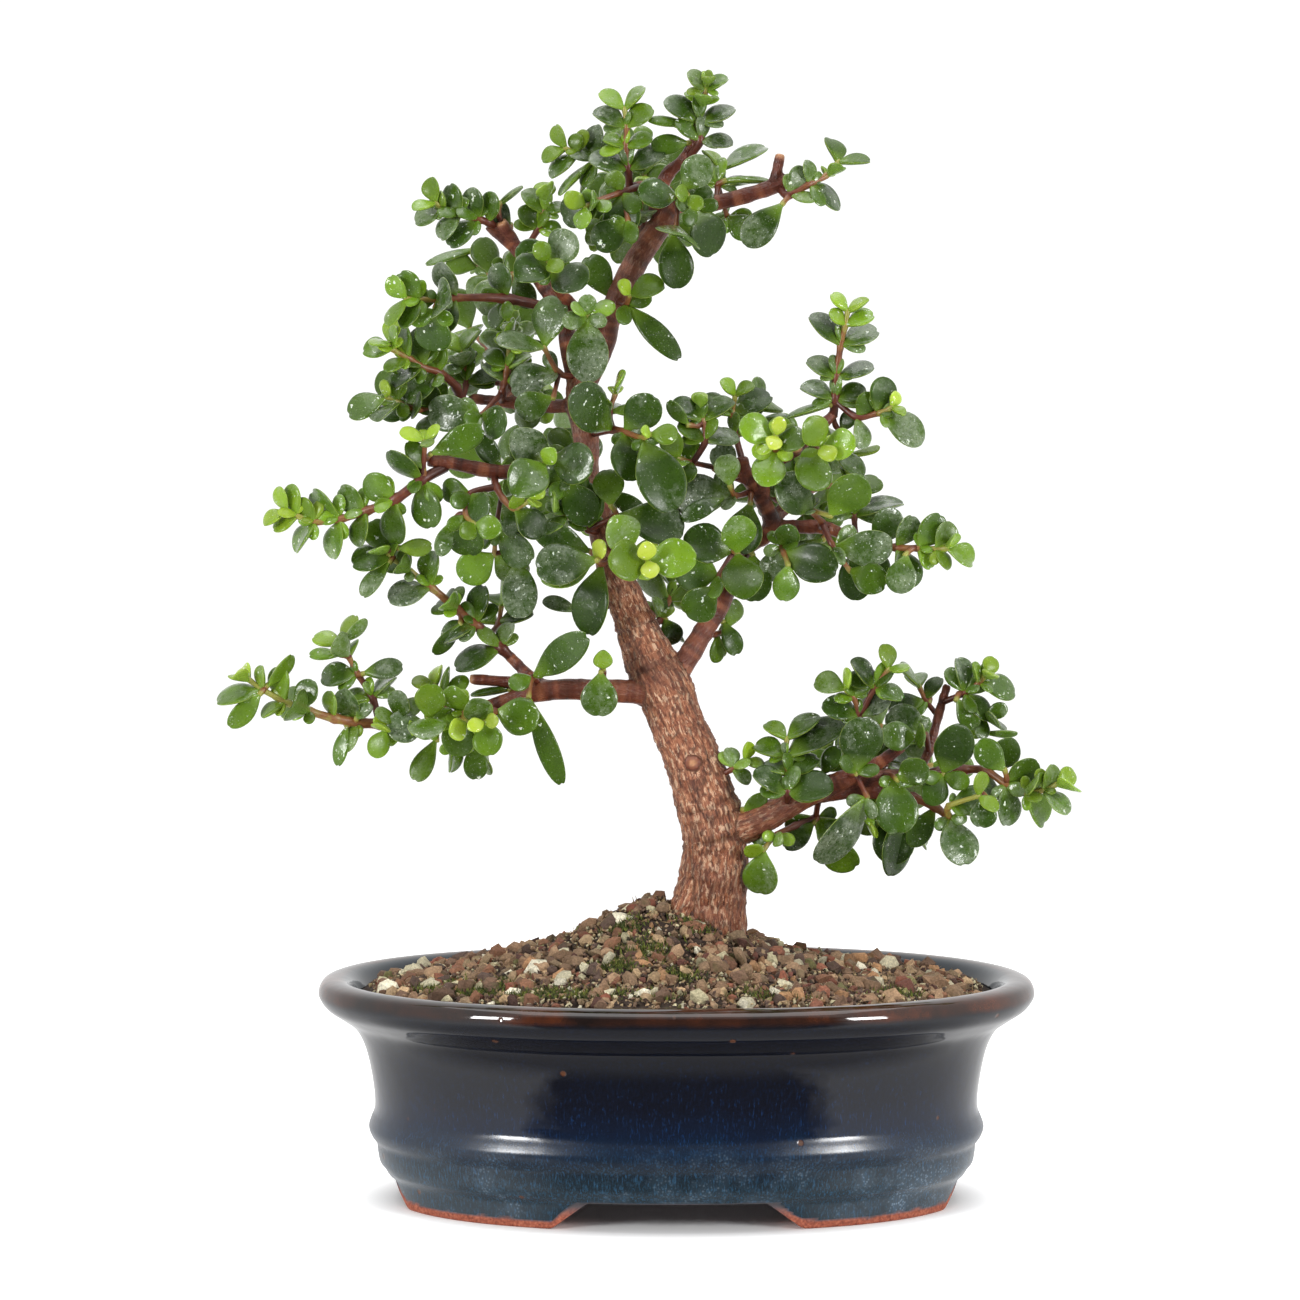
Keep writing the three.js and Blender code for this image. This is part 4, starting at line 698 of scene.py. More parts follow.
# Old leaf scars circle the trunk as a groove under a low ridge.
scar_run = bark_place[:, 0] + 1.5 * value_noise(bark_place, 8, 26)
on_trunk = old * (bark_place[:, 0] < SCARRED)
from_scar = scar_run[:, None] - np.array(LEAF_SCARS)
groove = np.exp(-(from_scar / 0.38) ** 2).max(axis=1) * on_trunk
groove = groove * ramp(value_noise(bark_place, 5, 27), -0.5, 0.2)
ridge = np.exp(-((from_scar - 1.1) / 0.7) ** 2).max(axis=1) * on_trunk
bark_relief += 0.3 * ridge - 0.35 * groove
spots += normals * bark_relief[:, None]
fused.vertices.foreach_set("co", (spots * MM).ravel())
fused.update()
# Saw cuts: pale in the middle, with a ring of callus round them. The pruning scar has half closed.
CUTS = ("pruning_scar", "leader_stub", "left_fork_stub", "low_left_stub", "right_upper_stub", "leader",
        "right_inner_arm")
cut_ends = seen([WOOD[name][-1] for name in CUTS])
cut_reach = np.where(np.array(CUTS) == "pruning_scar", 0.55, 1)
to_cut = (np.linalg.norm(spots[:, None] - cut_ends[None], axis=-1) / cut_reach).min(axis=1)
fresh = 1 - ramp(to_cut, 1.0, 2.2)
callus = np.exp(-((to_cut - 3.1) / 0.9) ** 2)
fissure = np.maximum(fissure, np.maximum(0.3 * callus, 0.22 * groove) - 0.3)
add_attribute(fused, "bark", bark_place * MM)
add_attribute(fused, "wear", np.stack([old, fresh, fissure], 1))
fused.polygons.foreach_set("use_smooth", np.ones(len(fused.polygons), bool))
fused.materials.clear()
fused.materials.append(bark)
wood = link_new("trunk_and_limbs", fused)
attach(wood, "root")
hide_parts("trunk_and_branches")
# Bark of a succulent shrub: warm brown, papery and fibrous, pale where it has rubbed, dark in its cracks,
# turning smooth, redder and a little glossy on the young limbs; saw cuts show dry pale wood.
along_bark = add_node(tree, "Attribute", attribute_name="bark").outputs["Vector"]
wear = add_node(tree, "Attribute", attribute_name="wear").outputs["Vector"]
wear = add_node(tree, "SeparateXYZ", {0: wear}).outputs
fibre_place = add_node(tree, "Mapping", {0: along_bark, "Scale": (0.26, 1, 1)})
fibre = add_node(tree, "TexNoise", {"Vector": fibre_place, "Scale": 1300, "Detail": 5, "Roughness": 0.8})
ring_place = add_node(tree, "Mapping", {0: along_bark, "Scale": (1, 0.1, 0.1)})
ring_noise = add_node(tree, "TexNoise", {"Vector": ring_place, "Scale": 300, "Detail": 2})
old_bark = add_node(tree, "ValToRGB", {0: fibre}, stops=[
    (0.34, "#3a1b11"), (0.44, "#7c432c"), (0.54, "#a86a49"), (0.68, "#dba982")])
flake_place = add_node(tree, "Mapping", {0: along_bark, "Scale": (0.4, 1, 1)})
flake = add_node(tree, "TexNoise", {"Vector": flake_place, "Scale": 1050, "Detail": 3, "Roughness": 0.7})
flakes = add_node(tree, "MapRange", {0: flake, 1: 0.55, 2: 0.6, 3: 0.0, 4: 0.8})
stain = add_node(tree, "TexNoise", {"Vector": along_bark, "Scale": 90, "Detail": 3})
stain = add_node(tree, "MapRange", {0: stain, 1: 0.5, 2: 0.66, 3: 0.0, 4: 0.5})
for share, code in ((flakes, "#e0bb9a"), (stain, "#6a3826")):
    old_bark = add_node(tree, "Mix", {0: share, 6: old_bark, 7: colour(code)}, data_type="RGBA")
young_bark = add_node(tree, "ValToRGB", {0: ring_noise}, stops=[
    (0.3, "#34140d"), (0.5, "#612c1c"), (0.68, "#925639")])
skin = add_node(tree, "Mix", {0: wear[0], 6: young_bark, 7: old_bark}, data_type="RGBA")
crack = add_node(tree, "MapRange", {0: wear[2], 1: -0.3, 2: -0.02, 3: 0.0, 4: 0.7})
crack = add_node(tree, "Math", {0: crack, 1: wear[0]}, operation="MULTIPLY")
for share, code in ((crack, "#2a140c"), (wear[1], "#c08c62")):
    skin = add_node(tree, "Mix", {0: share, 6: skin, 7: colour(code)}, data_type="RGBA")
rough = add_node(tree, "MapRange", {0: wear[0], 3: 0.34, 4: 0.55})
bark_height = add_node(tree, "Math", {0: fibre, 1: wear[0], 2: flake}, operation="MULTIPLY_ADD")
bump = add_node(tree, "Bump", {"Strength": 0.9, "Distance": 0.0006, "Height": bark_height})
set_inputs(tree, shader, {"Base Color": skin, "Roughness": rough, "Normal": bump})

# ---- Leafy shoots ----
# Young twigs with pairs of round succulent leaves, single leaves on short spurs beside the old wood, and
# short shoots on the limbs that reach to the back. They are all soft growth of one season or two.
CROSS = None  # a quarter turn from the pair below, as it is where a row ends before the turn
# A shoot starts with the x, z and depth of its root, as in WOOD. The rows after it are x, z, depth, length
# of the leaf, its turn in degrees, length of its partner, and its width as a share of the usual one.
SPRAYS = {
    "crown_tip": [
        [[3, 289, -1], [6.5, 293.8, -5, 8, -5], [6.3, 299, -4, 9.5, 0, 10], [7.3, 303.5, -4, 6, CROSS],
         [8, 307.5, -4.5, 6.5, 12], [8.3, 309.3, -5, 4.5, CROSS]],
    ],
    "crown_left": [
        [[-13, 281, 0], [-13.3, 286, -3, 10, 5], [-14, 292, -4, 7, 0, 6], [-13.8, 297.5, -5, 8, 8, 9],
         [-14.3, 302.5, -5, 7.5, 22]],
        [[-13.3, 286, -3], [-21.5, 288.5, 4, 9, 85], [-27, 290.5, 3, 9, -85, 5],
         [-30.5, 291.8, 3, 6.5, 60]],
    ],
    "crown_low_left": [
        [[-10, 281.5, 0], [-15, 280, -9, 11, -78, 6], [-22, 277.5, -13, 10, 205, 7],
         [-25, 276, -15, 6, CROSS]],
        [[-15, 280, -9], [-13.5, 272.5, -13, 10.5, 222, 0]],
    ],
    "crown_front": [
        [[0, 277, -2], [0.5, 278.5, -11, 11, 182, 9], [2, 280.5, -17, 10, 58, 0], [3, 279, -21, 5, CROSS]],
        [[0.5, 278.5, -11], [5, 276.5, -15, 13.5, -60, 0]],
        [[0.5, 278.5, -11], [0, 270.5, -12, 16.5, -88, 0]],
    ],
    "crown_right": [
        [[11, 277.5, -2], [11.5, 281.5, 3, 9.5, 0, 6], [12.3, 286, 5, 13, 6, 7]],
        [[11.5, 281.5, 3], [14, 273.5, 9, 8.5, -55, 6]],
    ],
    "right_end": [
        [[28.5, 281, -4], [31, 279, -9, 15.5, 228, 8], [36.5, 282, -9, 10, -100, 6],
         [41.5, 284.5, -7, 5.5, CROSS], [44.5, 288, -5, 8, 5]],
    ],
    "left_tip": [
        [[-50, 270.3, 7], [-51.8, 271.5, 4, 8, 40, 0], [-54.5, 272.4, 3, 10, -118, 8],
         [-59.5, 273.8, 2, 8, 95], [-64, 275, 2, 8, 190, 5], [-66.3, 276.8, 1, 6.5, 100]],
    ],
    "left_fork_twig": [
        [[-42.5, 263, 7], [-38.5, 269.5, 3, 7, 175, 6], [-36.8, 274, 2, 7.5, 150, 6],
         [-36.5, 277.5, 2, 6.5, 85]],
    ],
    "front_rosette": [
        [[-33.5, 254, -11], [-35, 258, -20, 12.5, -37, 10], [-35.2, 260, -27, 10, 42, 11],
         [-35.3, 261, -31, 6, CROSS]],
    ],
    "left_shade": [
        [[-40, 258, 8], [-46, 256, 15, 11, 215, 9], [-51, 257, 20, 10, 95, 9], [-55, 259, 23, 8, CROSS]],
    ],
    "left_round": [
        [[-31, 247, 7], [-47, 250.5, 3, 9, 85, 8], [-61, 250.8, -6, 10, 80, 10],
         [-66, 250.3, -12, 12.5, 5, 9], [-70.5, 250.3, -15, 8.5, CROSS], [-74.5, 250.5, -16, 7, 95, 8]],
        [[-66, 250.3, -12], [-66.8, 248, -15, 11, -92, 0]],
    ],
    "left_wings": [
        [[-56, 222.9, 10], [-60, 220.8, 8, 0], [-66, 219.5, 5, 9, -85, 9], [-72.5, 220, 0, 9, CROSS],
         [-77, 221.8, -3, 10, -52, 9], [-80, 223.2, -5, 10.5, 212, 5]],
        [[-60, 220.8, 8], [-61, 226, 4, 0], [-65.5, 230, -1, 11, -95, 7], [-70, 231.5, -3, 10, 92, 9],
         [-74, 234, -5, 8.5, 80, 7], [-78.5, 236.5, -7, 7.5, 180, 6.5], [-79.3, 238, -8, 6.5, 88]],
        [[-60, 220.8, 8], [-58.3, 227, 12, 8, 3, 8], [-59, 231.5, 12, 8.5, CROSS],
         [-59.4, 235.5, 12, 7.5, 170]],
    ],
    "left_upright": [
        [[-48.5, 222, 9], [-48.3, 224.5, 4, 0], [-47.5, 227.5, 5, 7, 180], [-47, 231, 5, 7, 50],
         [-46.3, 236.5, 5, 6.5, CROSS], [-46, 240, 5, 5.5, 85]],
        [[-48.3, 224.5, 4], [-54, 218.5, -4, 13.5, 190, 11.5]],
    ],
    "fork_leaves": [
        [[-28, 229, 3], [-32.5, 230, -3, 12.5, 190, 0], [-36.5, 236.8, -6.5, 12.5, -104, 13]],
        [[-32.5, 230, -3], [-34, 223.5, -8, 10, 205, 0]],
    ],
    "leader_cover": [
        [[-24.5, 246.5, -2], [-24.6, 246, -9, 16.5, -94, 6]],
    ],
    "leader_right": [
        [[-16.5, 250, 0], [-14, 249, -7, 19, -46, 0, 0.5], [-13, 251.5, -10, 9, -5, 5]],
    ],
    "centre_front": [
        [[-23, 213.5, 1], [-17.5, 214.3, -11, 19, 160, 0], [-14.5, 213.8, -15, 12.5, 75, 13],
         [-9.5, 212, -20, 19.5, -91, 0], [-7.5, 213, -24, 7, 0, 4]],
        [[-17.5, 214.3, -11], [-18.5, 219, -9, 9, 100, 8], [-17, 224, -8, 7, 70, 5]],
    ],
    "mid_left_front": [
        [[-30, 206.5, -3], [-31.5, 200.5, -11, 13, -55, 10.5]],
        [[-30, 206.5, -3], [-35, 206, -13, 13.5, -5, 0], [-36, 205.5, -19, 12.5, 132, 0],
         [-36.5, 205, -24, 12.5, 228, 6]],
    ],
    "mid_left_low": [
        [[-48.3, 195.5, -15], [-50, 187, -9, 12, -60, 10], [-50.5, 180, -6, 10.5, 28]],
        [[-50.5, 201, -8], [-50, 198.5, -12, 0], [-48, 195, -16, 11, -62, 0],
         [-45, 192.5, -19, 9.5, -40, 5], [-41, 194.5, -21, 5, CROSS]],
        [[-50, 198.5, -12], [-57, 196.5, -14, 9.5, 10, 8], [-58.5, 191, -17, 11, -88, 0],
         [-56.1, 188.1, -21.6, 7, 0, 6]],
    ],
    "mid_left_wing": [
        [[-64, 204, -9], [-70.5, 200.5, -13, 11, 92, 12], [-78, 195, -13, 11, -85, 9],
         [-86, 191.8, -11, 9, 58], [-93, 189.6, -10, 10, 90], [-100, 188.7, -10, 9, -60, 7],
         [-105, 190.3, -10, 8, 82, 7], [-108, 191.5, -10, 6.5, 195]],
        [[-70.5, 200.5, -13], [-69.7, 210.5, -17, 4.5, 90]],
    ],
    "bright_cross": [
        [[-17, 181, -1], [-14.5, 181.3, -8, 0], [-12.5, 181, -12, 12, 128, 9],
         [-8.3, 178.3, -28, 12.5, 4, 12.5], [-8, 178, -32, 6.5, 98, 5.5]],
        [[-14.5, 181.3, -8], [-20.5, 177, -10, 17.5, -102, 0], [-22.5, 178.5, -14, 15, 212, 6]],
    ],
    "smooth_branch": [
        [[-21.5, 186, 0], [-24.5, 186.5, -6, 12, 60, 0], [-30, 190.5, -9, 9.5, 110, 8],
         [-33, 192, -10, 7, CROSS]],
        [[-24.5, 186.5, -6], [-17, 190.5, -10, 17, -3, 0], [-18, 193, -13, 9, 100, 0]],
    ],
    "diagonal_wing": [
        [[-45.5, 150.5, 1], [-48.5, 153.5, 0, 12.5, 190, 7], [-52, 157, 2, 0],
         [-55.5, 160, -1, 10, 83, 9.5], [-61, 164.5, 0, 8, CROSS], [-68, 170.5, -2, 11, 255, 9],
         [-74, 175, -3, 8, CROSS], [-79, 178.8, -5, 11.5, 22, 10], [-80.3, 180.5, -6, 8.5, 118, 7]],
        [[-52, 157, 2], [-49.5, 160.5, 9, 9, 200], [-48.7, 165, 11, 14.5, 75, 9]],
    ],
    "low_left_wing": [
        [[-58, 134.8, -5], [-64, 133, -5.5, 0], [-68, 132.3, -6, 0], [-77, 132.3, -6, 0],
         [-82.5, 132.6, -7.6, 0], [-88, 132.8, -10, 9.5, 100, 8], [-95, 134, -13, 11.5, -92, 7],
         [-102, 136, -15, 10.5, CROSS], [-108.5, 138.5, -16, 9, 112, 7], [-115, 142, -17, 11.5, 235, 6],
         [-118.7, 144.7, -17, 6.5, 150, 5.5]],
        [[-82.5, 132.6, -7.6], [-84.5, 139.5, -5, 8, 15], [-88.3, 146, -4, 11, 35, 9.5],
         [-91, 151, -3, 8.5, CROSS], [-92.5, 154.5, -2, 8, 30]],
        [[-77, 132.3, -6], [-77.8, 134, -13, 8, 75, 7], [-80.5, 131, -17, 7.5, 250, 6]],
        [[-68, 132.3, -6], [-69.5, 132.5, -14, 10, 195, 8], [-69, 134, -18, 9, 85, 11]],
        [[-64, 133, -5.5], [-64.5, 139.5, 1, 8.5, 92], [-67, 143, 2, 6, 150]],
        [[-64, 133, -5.5], [-62, 128.5, 4, 8.5, -95, 7], [-57.5, 128, 7, 10.5, -80, 8]],
    ],
    "low_left_front": [
        [[-55, 136.3, -4], [-55.5, 136.5, -10, 0], [-60, 136, -15, 9.5, 92, 11], [-58.5, 133, -20, 7, 0]],
        [[-55.5, 136.5, -10], [-50.5, 136, -15, 11, -15, 0], [-53, 133.5, -22, 8.5, 100, 9],
         [-53.2, 133, -26, 5, CROSS]],
    ],
    "round_leaf": [
        [[-20, 144, -5], [-20.3, 147, -9, 0], [-20.3, 147.8, -14, 13, -94, 5.5]],
    ],
    "long_leaves": [
        [[-38, 143, -4], [-40, 145.5, -9, 22, 38, 0, 0.66], [-41, 140.5, -13, 23, -62, 0, 0.42]],
    ],
    "inner_left": [
        [[10, 204, -3], [4.5, 205.2, -7, 6, CROSS], [1, 206.3, -9, 10.5, -88, 8]],
        [[4.5, 205.2, -7], [8, 211, -9, 8.5, 25, 8], [7.5, 216.5, -9, 9, 15, 9], [7, 220.5, -9, 5, CROSS]],
    ],
    "right_crown": [
        [[18.5, 205, 0], [16.5, 212.5, 4, 9, 0], [15.5, 218, 5, 11, 8, 9], [16.3, 223.5, 4, 5.5, 10]],
        [[16.5, 212.5, 4], [21, 216, 10, 9, 20, 8], [23, 220, 12, 8, CROSS]],
    ],
    "right_dark": [
        [[20.5, 197, 0], [16.5, 196, -8, 15.5, 183, 0], [15, 198.5, -12, 8, 100, 0]],
    ],
    "right_front": [
        [[18.7, 180, 3], [16, 180.5, -6, 13, 172, 0], [17, 180, -12, 12.5, 98, 13.5]],
        [[16, 180.5, -6], [12, 174, -10, 11, 178, 0], [11.5, 171, -12, 10.5, 222, 0]],
    ],
    "right_behind": [
        [[-9, 158, 4], [-4.5, 161.5, 11, 9, -75, 6], [-2, 167, 15, 11, 172, 8], [-1.5, 171, 17, 8, CROSS]],
    ],
    "right_low": [
        [[7, 157, 3], [11, 157.5, 9, 7.5, -120, 0], [14, 159, 10, 10.5, -65, 8]],
    ],
    "under_arm": [
        [[31, 187, 4], [29.5, 182, -3, 9, -110, 8], [30, 180, -9, 14.5, -3, 0],
         [31, 177, -13, 9, -100, 0]],
    ],
    "arm_front": [
        [[40, 187.3, 3], [40.5, 188.5, -4, 0], [38, 191.5, -8, 14.5, 160, 0],
         [42.5, 190.5, -12, 13.5, 80, 0]],
        [[40.5, 188.5, -4], [43.5, 182, -9, 14.5, -32, 9], [48, 175.5, -7, 10, -40, 0]],
    ],
    "arm_end": [
        [[46, 185.3, 4], [50, 183.5, 3, 0], [54.5, 182.3, -2, 10.5, 78, 9],
         [61, 181.6, -6, 10.5, -88, 9], [67, 181.4, -8, 10, 88, 6], [71.8, 181.2, -9, 7.5, 70, 6],
         [75, 181.4, -10, 8, -12, 5.5]],
        [[50, 183.5, 3], [49.5, 190, 6, 12.5, 10, 8], [50.5, 196, 7, 9, 95, 8]],
    ],
    "bright_inner": [
        [[28, 206, -3], [27.5, 208.5, -12, 11, -97, 8.5], [27.5, 211.5, -23, 9.8, 158, 9],
         [27.6, 212.5, -26, 5, CROSS]],
    ],
    "bright_outer": [
        [[37, 211.5, -4], [38.5, 210.5, -10, 0], [40, 208.8, -15, 11.5, -97, 0],
         [40.5, 209.3, -21, 9.8, 6, 0], [40.4, 209.8, -25, 9, 118, 6]],
        [[38.5, 210.5, -10], [44, 208.5, -3, 9.5, -40, 9], [48, 207, 1, 8, CROSS]],
    ],
    "tall_twig": [
        [[43.5, 218, -1], [44, 222.5, -3, 9, 178, 8], [44.4, 228.5, -4, 9.5, -28, 8.5],
         [45.5, 237.5, -5, 10, 2, 10.5], [46.8, 243, -6, 7.5, 12, 5.5], [47.4, 246.8, -6, 6, 25]],
        [[44, 222.5, -3], [50, 217.8, -6, 8, -95, 7], [55.5, 218.8, -7, 9, 95, 0],
         [56.5, 218.9, -8, 12.5, -28, 0], [59.5, 220.3, -9, 4.5, 45]],
    ],
    "trunk_sprout": [
        [[9, 116.5, -4], [15.5, 119.8, -6, 5.5, 80], [19, 122, -6, 5, 0]],
    ],
    "low_right_inner": [
        [[31, 109.5, -6], [31, 113, -12, 11.5, -15, 10], [31.5, 118, -10, 8.5, 25],
         [30.5, 122.8, -8, 17, 14, 8.5], [30.8, 128, -6, 10, 22, 7]],
    ],
    "low_right_up": [
        [[51, 130, -7], [51, 134.5, -8, 9, 20, 9.5], [49.5, 139.5, -9, 8.5, 65, 5],
         [47.3, 142, -10, 8, 150, 6.5]],
        [[51, 134.5, -8], [55, 142.2, -10, 9.5, 115, 7.5], [59, 147.5, -12, 6.5, 88, 5.5]],
    ],
    "low_right_twig": [
        [[73, 134.5, 3], [69.5, 139, 5, 9.5, 185, 7], [67.8, 142.5, 6, 9, 125, 8]],
    ],
    "low_right_peak": [
        [[74, 138.5, 3], [80, 141, 0, 9, 98, 9], [84, 143.8, -1, 10, 3, 6], [85.7, 145.8, -2, 5.5, CROSS]],
        [[80, 141, 0], [85.5, 134.5, 1, 8.5, -40, 6]],
    ],
    "low_right_middle": [
        [[70.3, 124.5, 1], [69.5, 129.5, -4, 11, 140, 0], [67, 129, -8, 9, 195, 8]],
    ],
    "low_right_front": [
        [[48, 118, -7], [50, 118.5, -16, 14.5, 86, 0]],
        [[50, 118.5, -16], [53, 112.5, -15, 20, 197, 0]],
    ],
    "low_right_round": [
        [[58, 118, -3], [60, 118, -12, 14.5, -91, 0], [61.5, 117, -16, 9.5, 50, 0]],
    ],
    "low_right_under": [
        [[40, 112.8, -5], [39, 106.5, 1, 8, 0], [40, 101, 3, 12, -35, 0]],
        [[39, 106.5, 1], [33, 104, -2, 0], [28, 101.5, -6, 7, 200, 5], [24.5, 97.5, -8, 11.5, -100, 6]],
    ],
    "low_right_hanging": [
        [[59, 113, -3], [61.5, 112.8, -2, 0], [66, 112, -3, 0], [72.5, 109, -5, 0],
         [76, 106.5, -9, 13.5, -92, 0], [76, 109.5, -13, 10, 15, 0], [84, 112.3, -19, 6.5, 112, 6]],
        [[61.5, 112.8, -2], [61.5, 107.5, 6, 15.5, -90, 0], [65, 107.5, 9, 11, -88, 0]],
    ],
    "low_right_end": [
        [[69, 118.5, -1], [73, 118.8, -1.5, 0], [80, 119.7, -1, 0], [86, 119.5, -5, 10.5, 72, 9],
         [91.5, 116, -8, 9.5, 60, 10.5], [97, 113.3, -10, 10.5, -35, 8], [102, 114, -12, 7, 95, 8.5],
         [105.8, 115.5, -13, 8, 20, 6.5]],
        [[73, 118.8, -1.5], [74.3, 118.5, -10, 13.5, 78, 8.5]],
    ],
    "back_top": [
        [[-10.5, 275, 24], [-12, 280, 34, 12, 20], [-13, 287, 42, 11, CROSS], [-13, 292, 48, 8, CROSS]],
        [[-12, 280, 34], [-3, 281, 42, 12, 60], [3, 284, 48, 10, CROSS]],
    ],
    "back_left": [
        [[-49.7, 232, 34], [-52, 236, 44, 12, 20], [-57, 242, 53, 11, CROSS]],
        [[-52, 236, 44], [-46, 239, 54, 12, 70], [-43, 243, 62, 10, CROSS]],
    ],
    "back_middle": [
        [[-37, 200.8, 30], [-43, 202, 40, 13, 80], [-51, 204, 49, 12, CROSS]],
        [[-43, 202, 40], [-36, 207, 50, 12, 30], [-30, 212, 59, 11, CROSS]],
    ],
    "back_right": [
        [[37, 197.5, 26], [42, 199, 36, 12, 72], [49, 200.5, 45, 11, CROSS]],
        [[42, 199, 36], [37, 204, 46, 12, 20], [33, 209, 54, 10, CROSS]],
    ],
    "back_low_right": [
        [[57, 118.7, 22], [63, 120, 32, 12, 85], [71, 121, 41, 11, CROSS]],
        [[63, 120, 32], [60, 127, 42, 12, 15], [57, 132, 50, 10, CROSS]],
    ],
}
LEAST_BLADE = 8.2  # from this length on, a leaf has a solid of its own in the frame
WIDEST_BLADE = 19  # what the width of ever longer leaves comes near to
SPLAY_FOOT, SPLAY_TIP = 66, 46  # degrees from the stem to a leaf, at the foot and the tip of a shoot
BLADE_FULL = 1.16  # a leaf's real length over the one in the table
TOWARDS_LIGHT = 1.5  # pull of a leaf's upper face to the light, over its pull along the stem
LIGHT_OUTWARD, LIGHT_FRONT, LIGHT_UP = 0.45, 1, 0.45
CROWN_BACK = 14  # leaves with a greater depth than this turn to the back
# A leaf takes the one of these turns, in degrees round the stem and away from it, that fits its solid best.
TURNS = ((0, 0), (14, 0), (-14, 0), (0, -14), (0, 14), (26, -8), (-26, -8), (26, 12), (-26, 12), (40, 0),
         (-40, 0))
BLADE_TRIES = [(roll, splay, scale) for scale in (1, 0.86, 0.72) for roll, splay in TURNS]


def draw(seed):
    """Repeatable number from 0 to 1: the fraction of 43758.5453 sin(12.9898 seed)."""
    value = math.sin(seed * 12.9898) * 43758.5453
    return value - math.floor(value)


def unit(vector):
    """The vector over its length."""
    return vector / np.linalg.norm(vector)


def shoot_frames(rows):
    """Base, stem direction, first leaf's direction, share of the shoot and leaf width for each node."""
    points = seen(rows)
    aside = np.array([1.0, 0, 0])
    frames = []
    for i, node in enumerate(rows[1:]):
        along = unit(points[min(i + 2, len(points) - 1)] - points[i])
        angle = node[4] if len(node) > 4 else CROSS
        if angle is CROSS:
            wanted = np.cross(along, aside)
        else:
            wanted = np.array([math.cos(math.radians(angle)), 0, math.sin(math.radians(angle))])
        square = wanted - along * (wanted @ along)
        if np.linalg.norm(square) < 0.3:
            square = square + (0, -0.6, 0)
        aside = unit(square - along * (square @ along))
        slim = node[6] if len(node) > 6 else 1
        frames.append((points[i + 1], along, aside, i / max(len(rows) - 2, 1), slim))
    return frames


def blade_frame(node_frame, side, length, seed, change):
    """Base, length direction, upper face, width direction, length and width of one leaf. The upper face
    looks along the stem, and turns on the leaf's foot towards the light."""
    base, along, aside, tip, slim = node_frame
    roll, splay_change, scale = change
    splay = SPLAY_FOOT + (SPLAY_TIP - SPLAY_FOOT) * tip
    splay = math.radians(splay + splay_change + 12 * (draw(seed) - 0.5))
    angle = math.radians(roll + 16 * (draw(seed + 0.37) - 0.5))
    out = side * aside
    out = out * math.cos(angle) + np.cross(along, out) * math.sin(angle)
    forward = along * math.cos(splay) + out * math.sin(splay)
    outward = max(-1, min(1, (base[0] - POT_MIDDLE) / (LIP_LENGTH / 2))) * LIGHT_OUTWARD
    front = LIGHT_FRONT if base[1] > CROWN_BACK else -LIGHT_FRONT
    pull = TOWARDS_LIGHT * (0.5 + draw(seed + 0.53))
    up = along * math.sin(splay) - out * math.cos(splay) + unit(np.array([outward, front, LIGHT_UP])) * pull
    up = unit(up - forward * (up @ forward))
    long = length * scale * BLADE_FULL
    wide = min(0.92 * long, WIDEST_BLADE * (1 - math.exp(-long / 13)))
    wide *= slim * (0.84 + 0.16 * draw(seed + 0.71))
    return base, forward, up, np.cross(forward, up), long, wide


def blade_corners(base, forward, up, across, long, wide):
    """The four outer corners and two thick middles of the frame's plain leaf solid."""
    spots = [(share, aside, 0) for share, half in ((0.5, 0.97), (0.92, 0.62)) for aside in (half, -half)]
    spots += [(0.55, 0, 1.1), (0.55, 0, -1.1)]
    return np.array([base + forward * long * share + across * aside * wide / 2
                     + up * (lift + abs(aside) * 0.08 * wide - 0.1 * long * share ** 2)
                     for share, aside, lift in spots])


# Leaf form: rows along the length, points round each cross-section, from one edge over the upper face to
# the other edge and back underneath.
def leaf_grid(rows, rounds):
    """Faces of a leaf's grid with quads across both ends, and its form by point: share of the length,
    closeness to the edge, and 1 on the upper face to -1 underneath."""
    count = len(rounds)
    tip = (len(rows) - 1) * count
    faces = grid_faces(len(rows), count).tolist()
    for k in range(count // 2 - 1):
        faces.append([k + 1, k, count - 1 - k, count - 2 - k])
        faces.append([tip + count - 2 - k, tip + count - 1 - k, tip + k, tip + k + 1])
    form = np.stack(np.broadcast_arrays(rows[:, None], np.abs(np.cos(rounds)), np.sin(rounds)), -1)
    return rows, rounds, np.array(faces), form.reshape(-1, 3)


LEAF = leaf_grid(np.array([0.02, 0.12, 0.28, 0.48, 0.68, 0.85, 0.95, 0.995]),
                 np.radians([0, 40, 90, 140, 180, 228, 270, 312]))
YOUNG_LEAF = leaf_grid(np.array([0.03, 0.25, 0.55, 0.83, 0.98]), np.radians([0, 60, 120, 180, 240, 300]))
LEAF_PLUMP = 1.08  # fleshy edges stand this much wider than the frame's plain solids
AXIL_SHARE = 0.62  # of the leaves, how many have a pair of small leaves in their axil


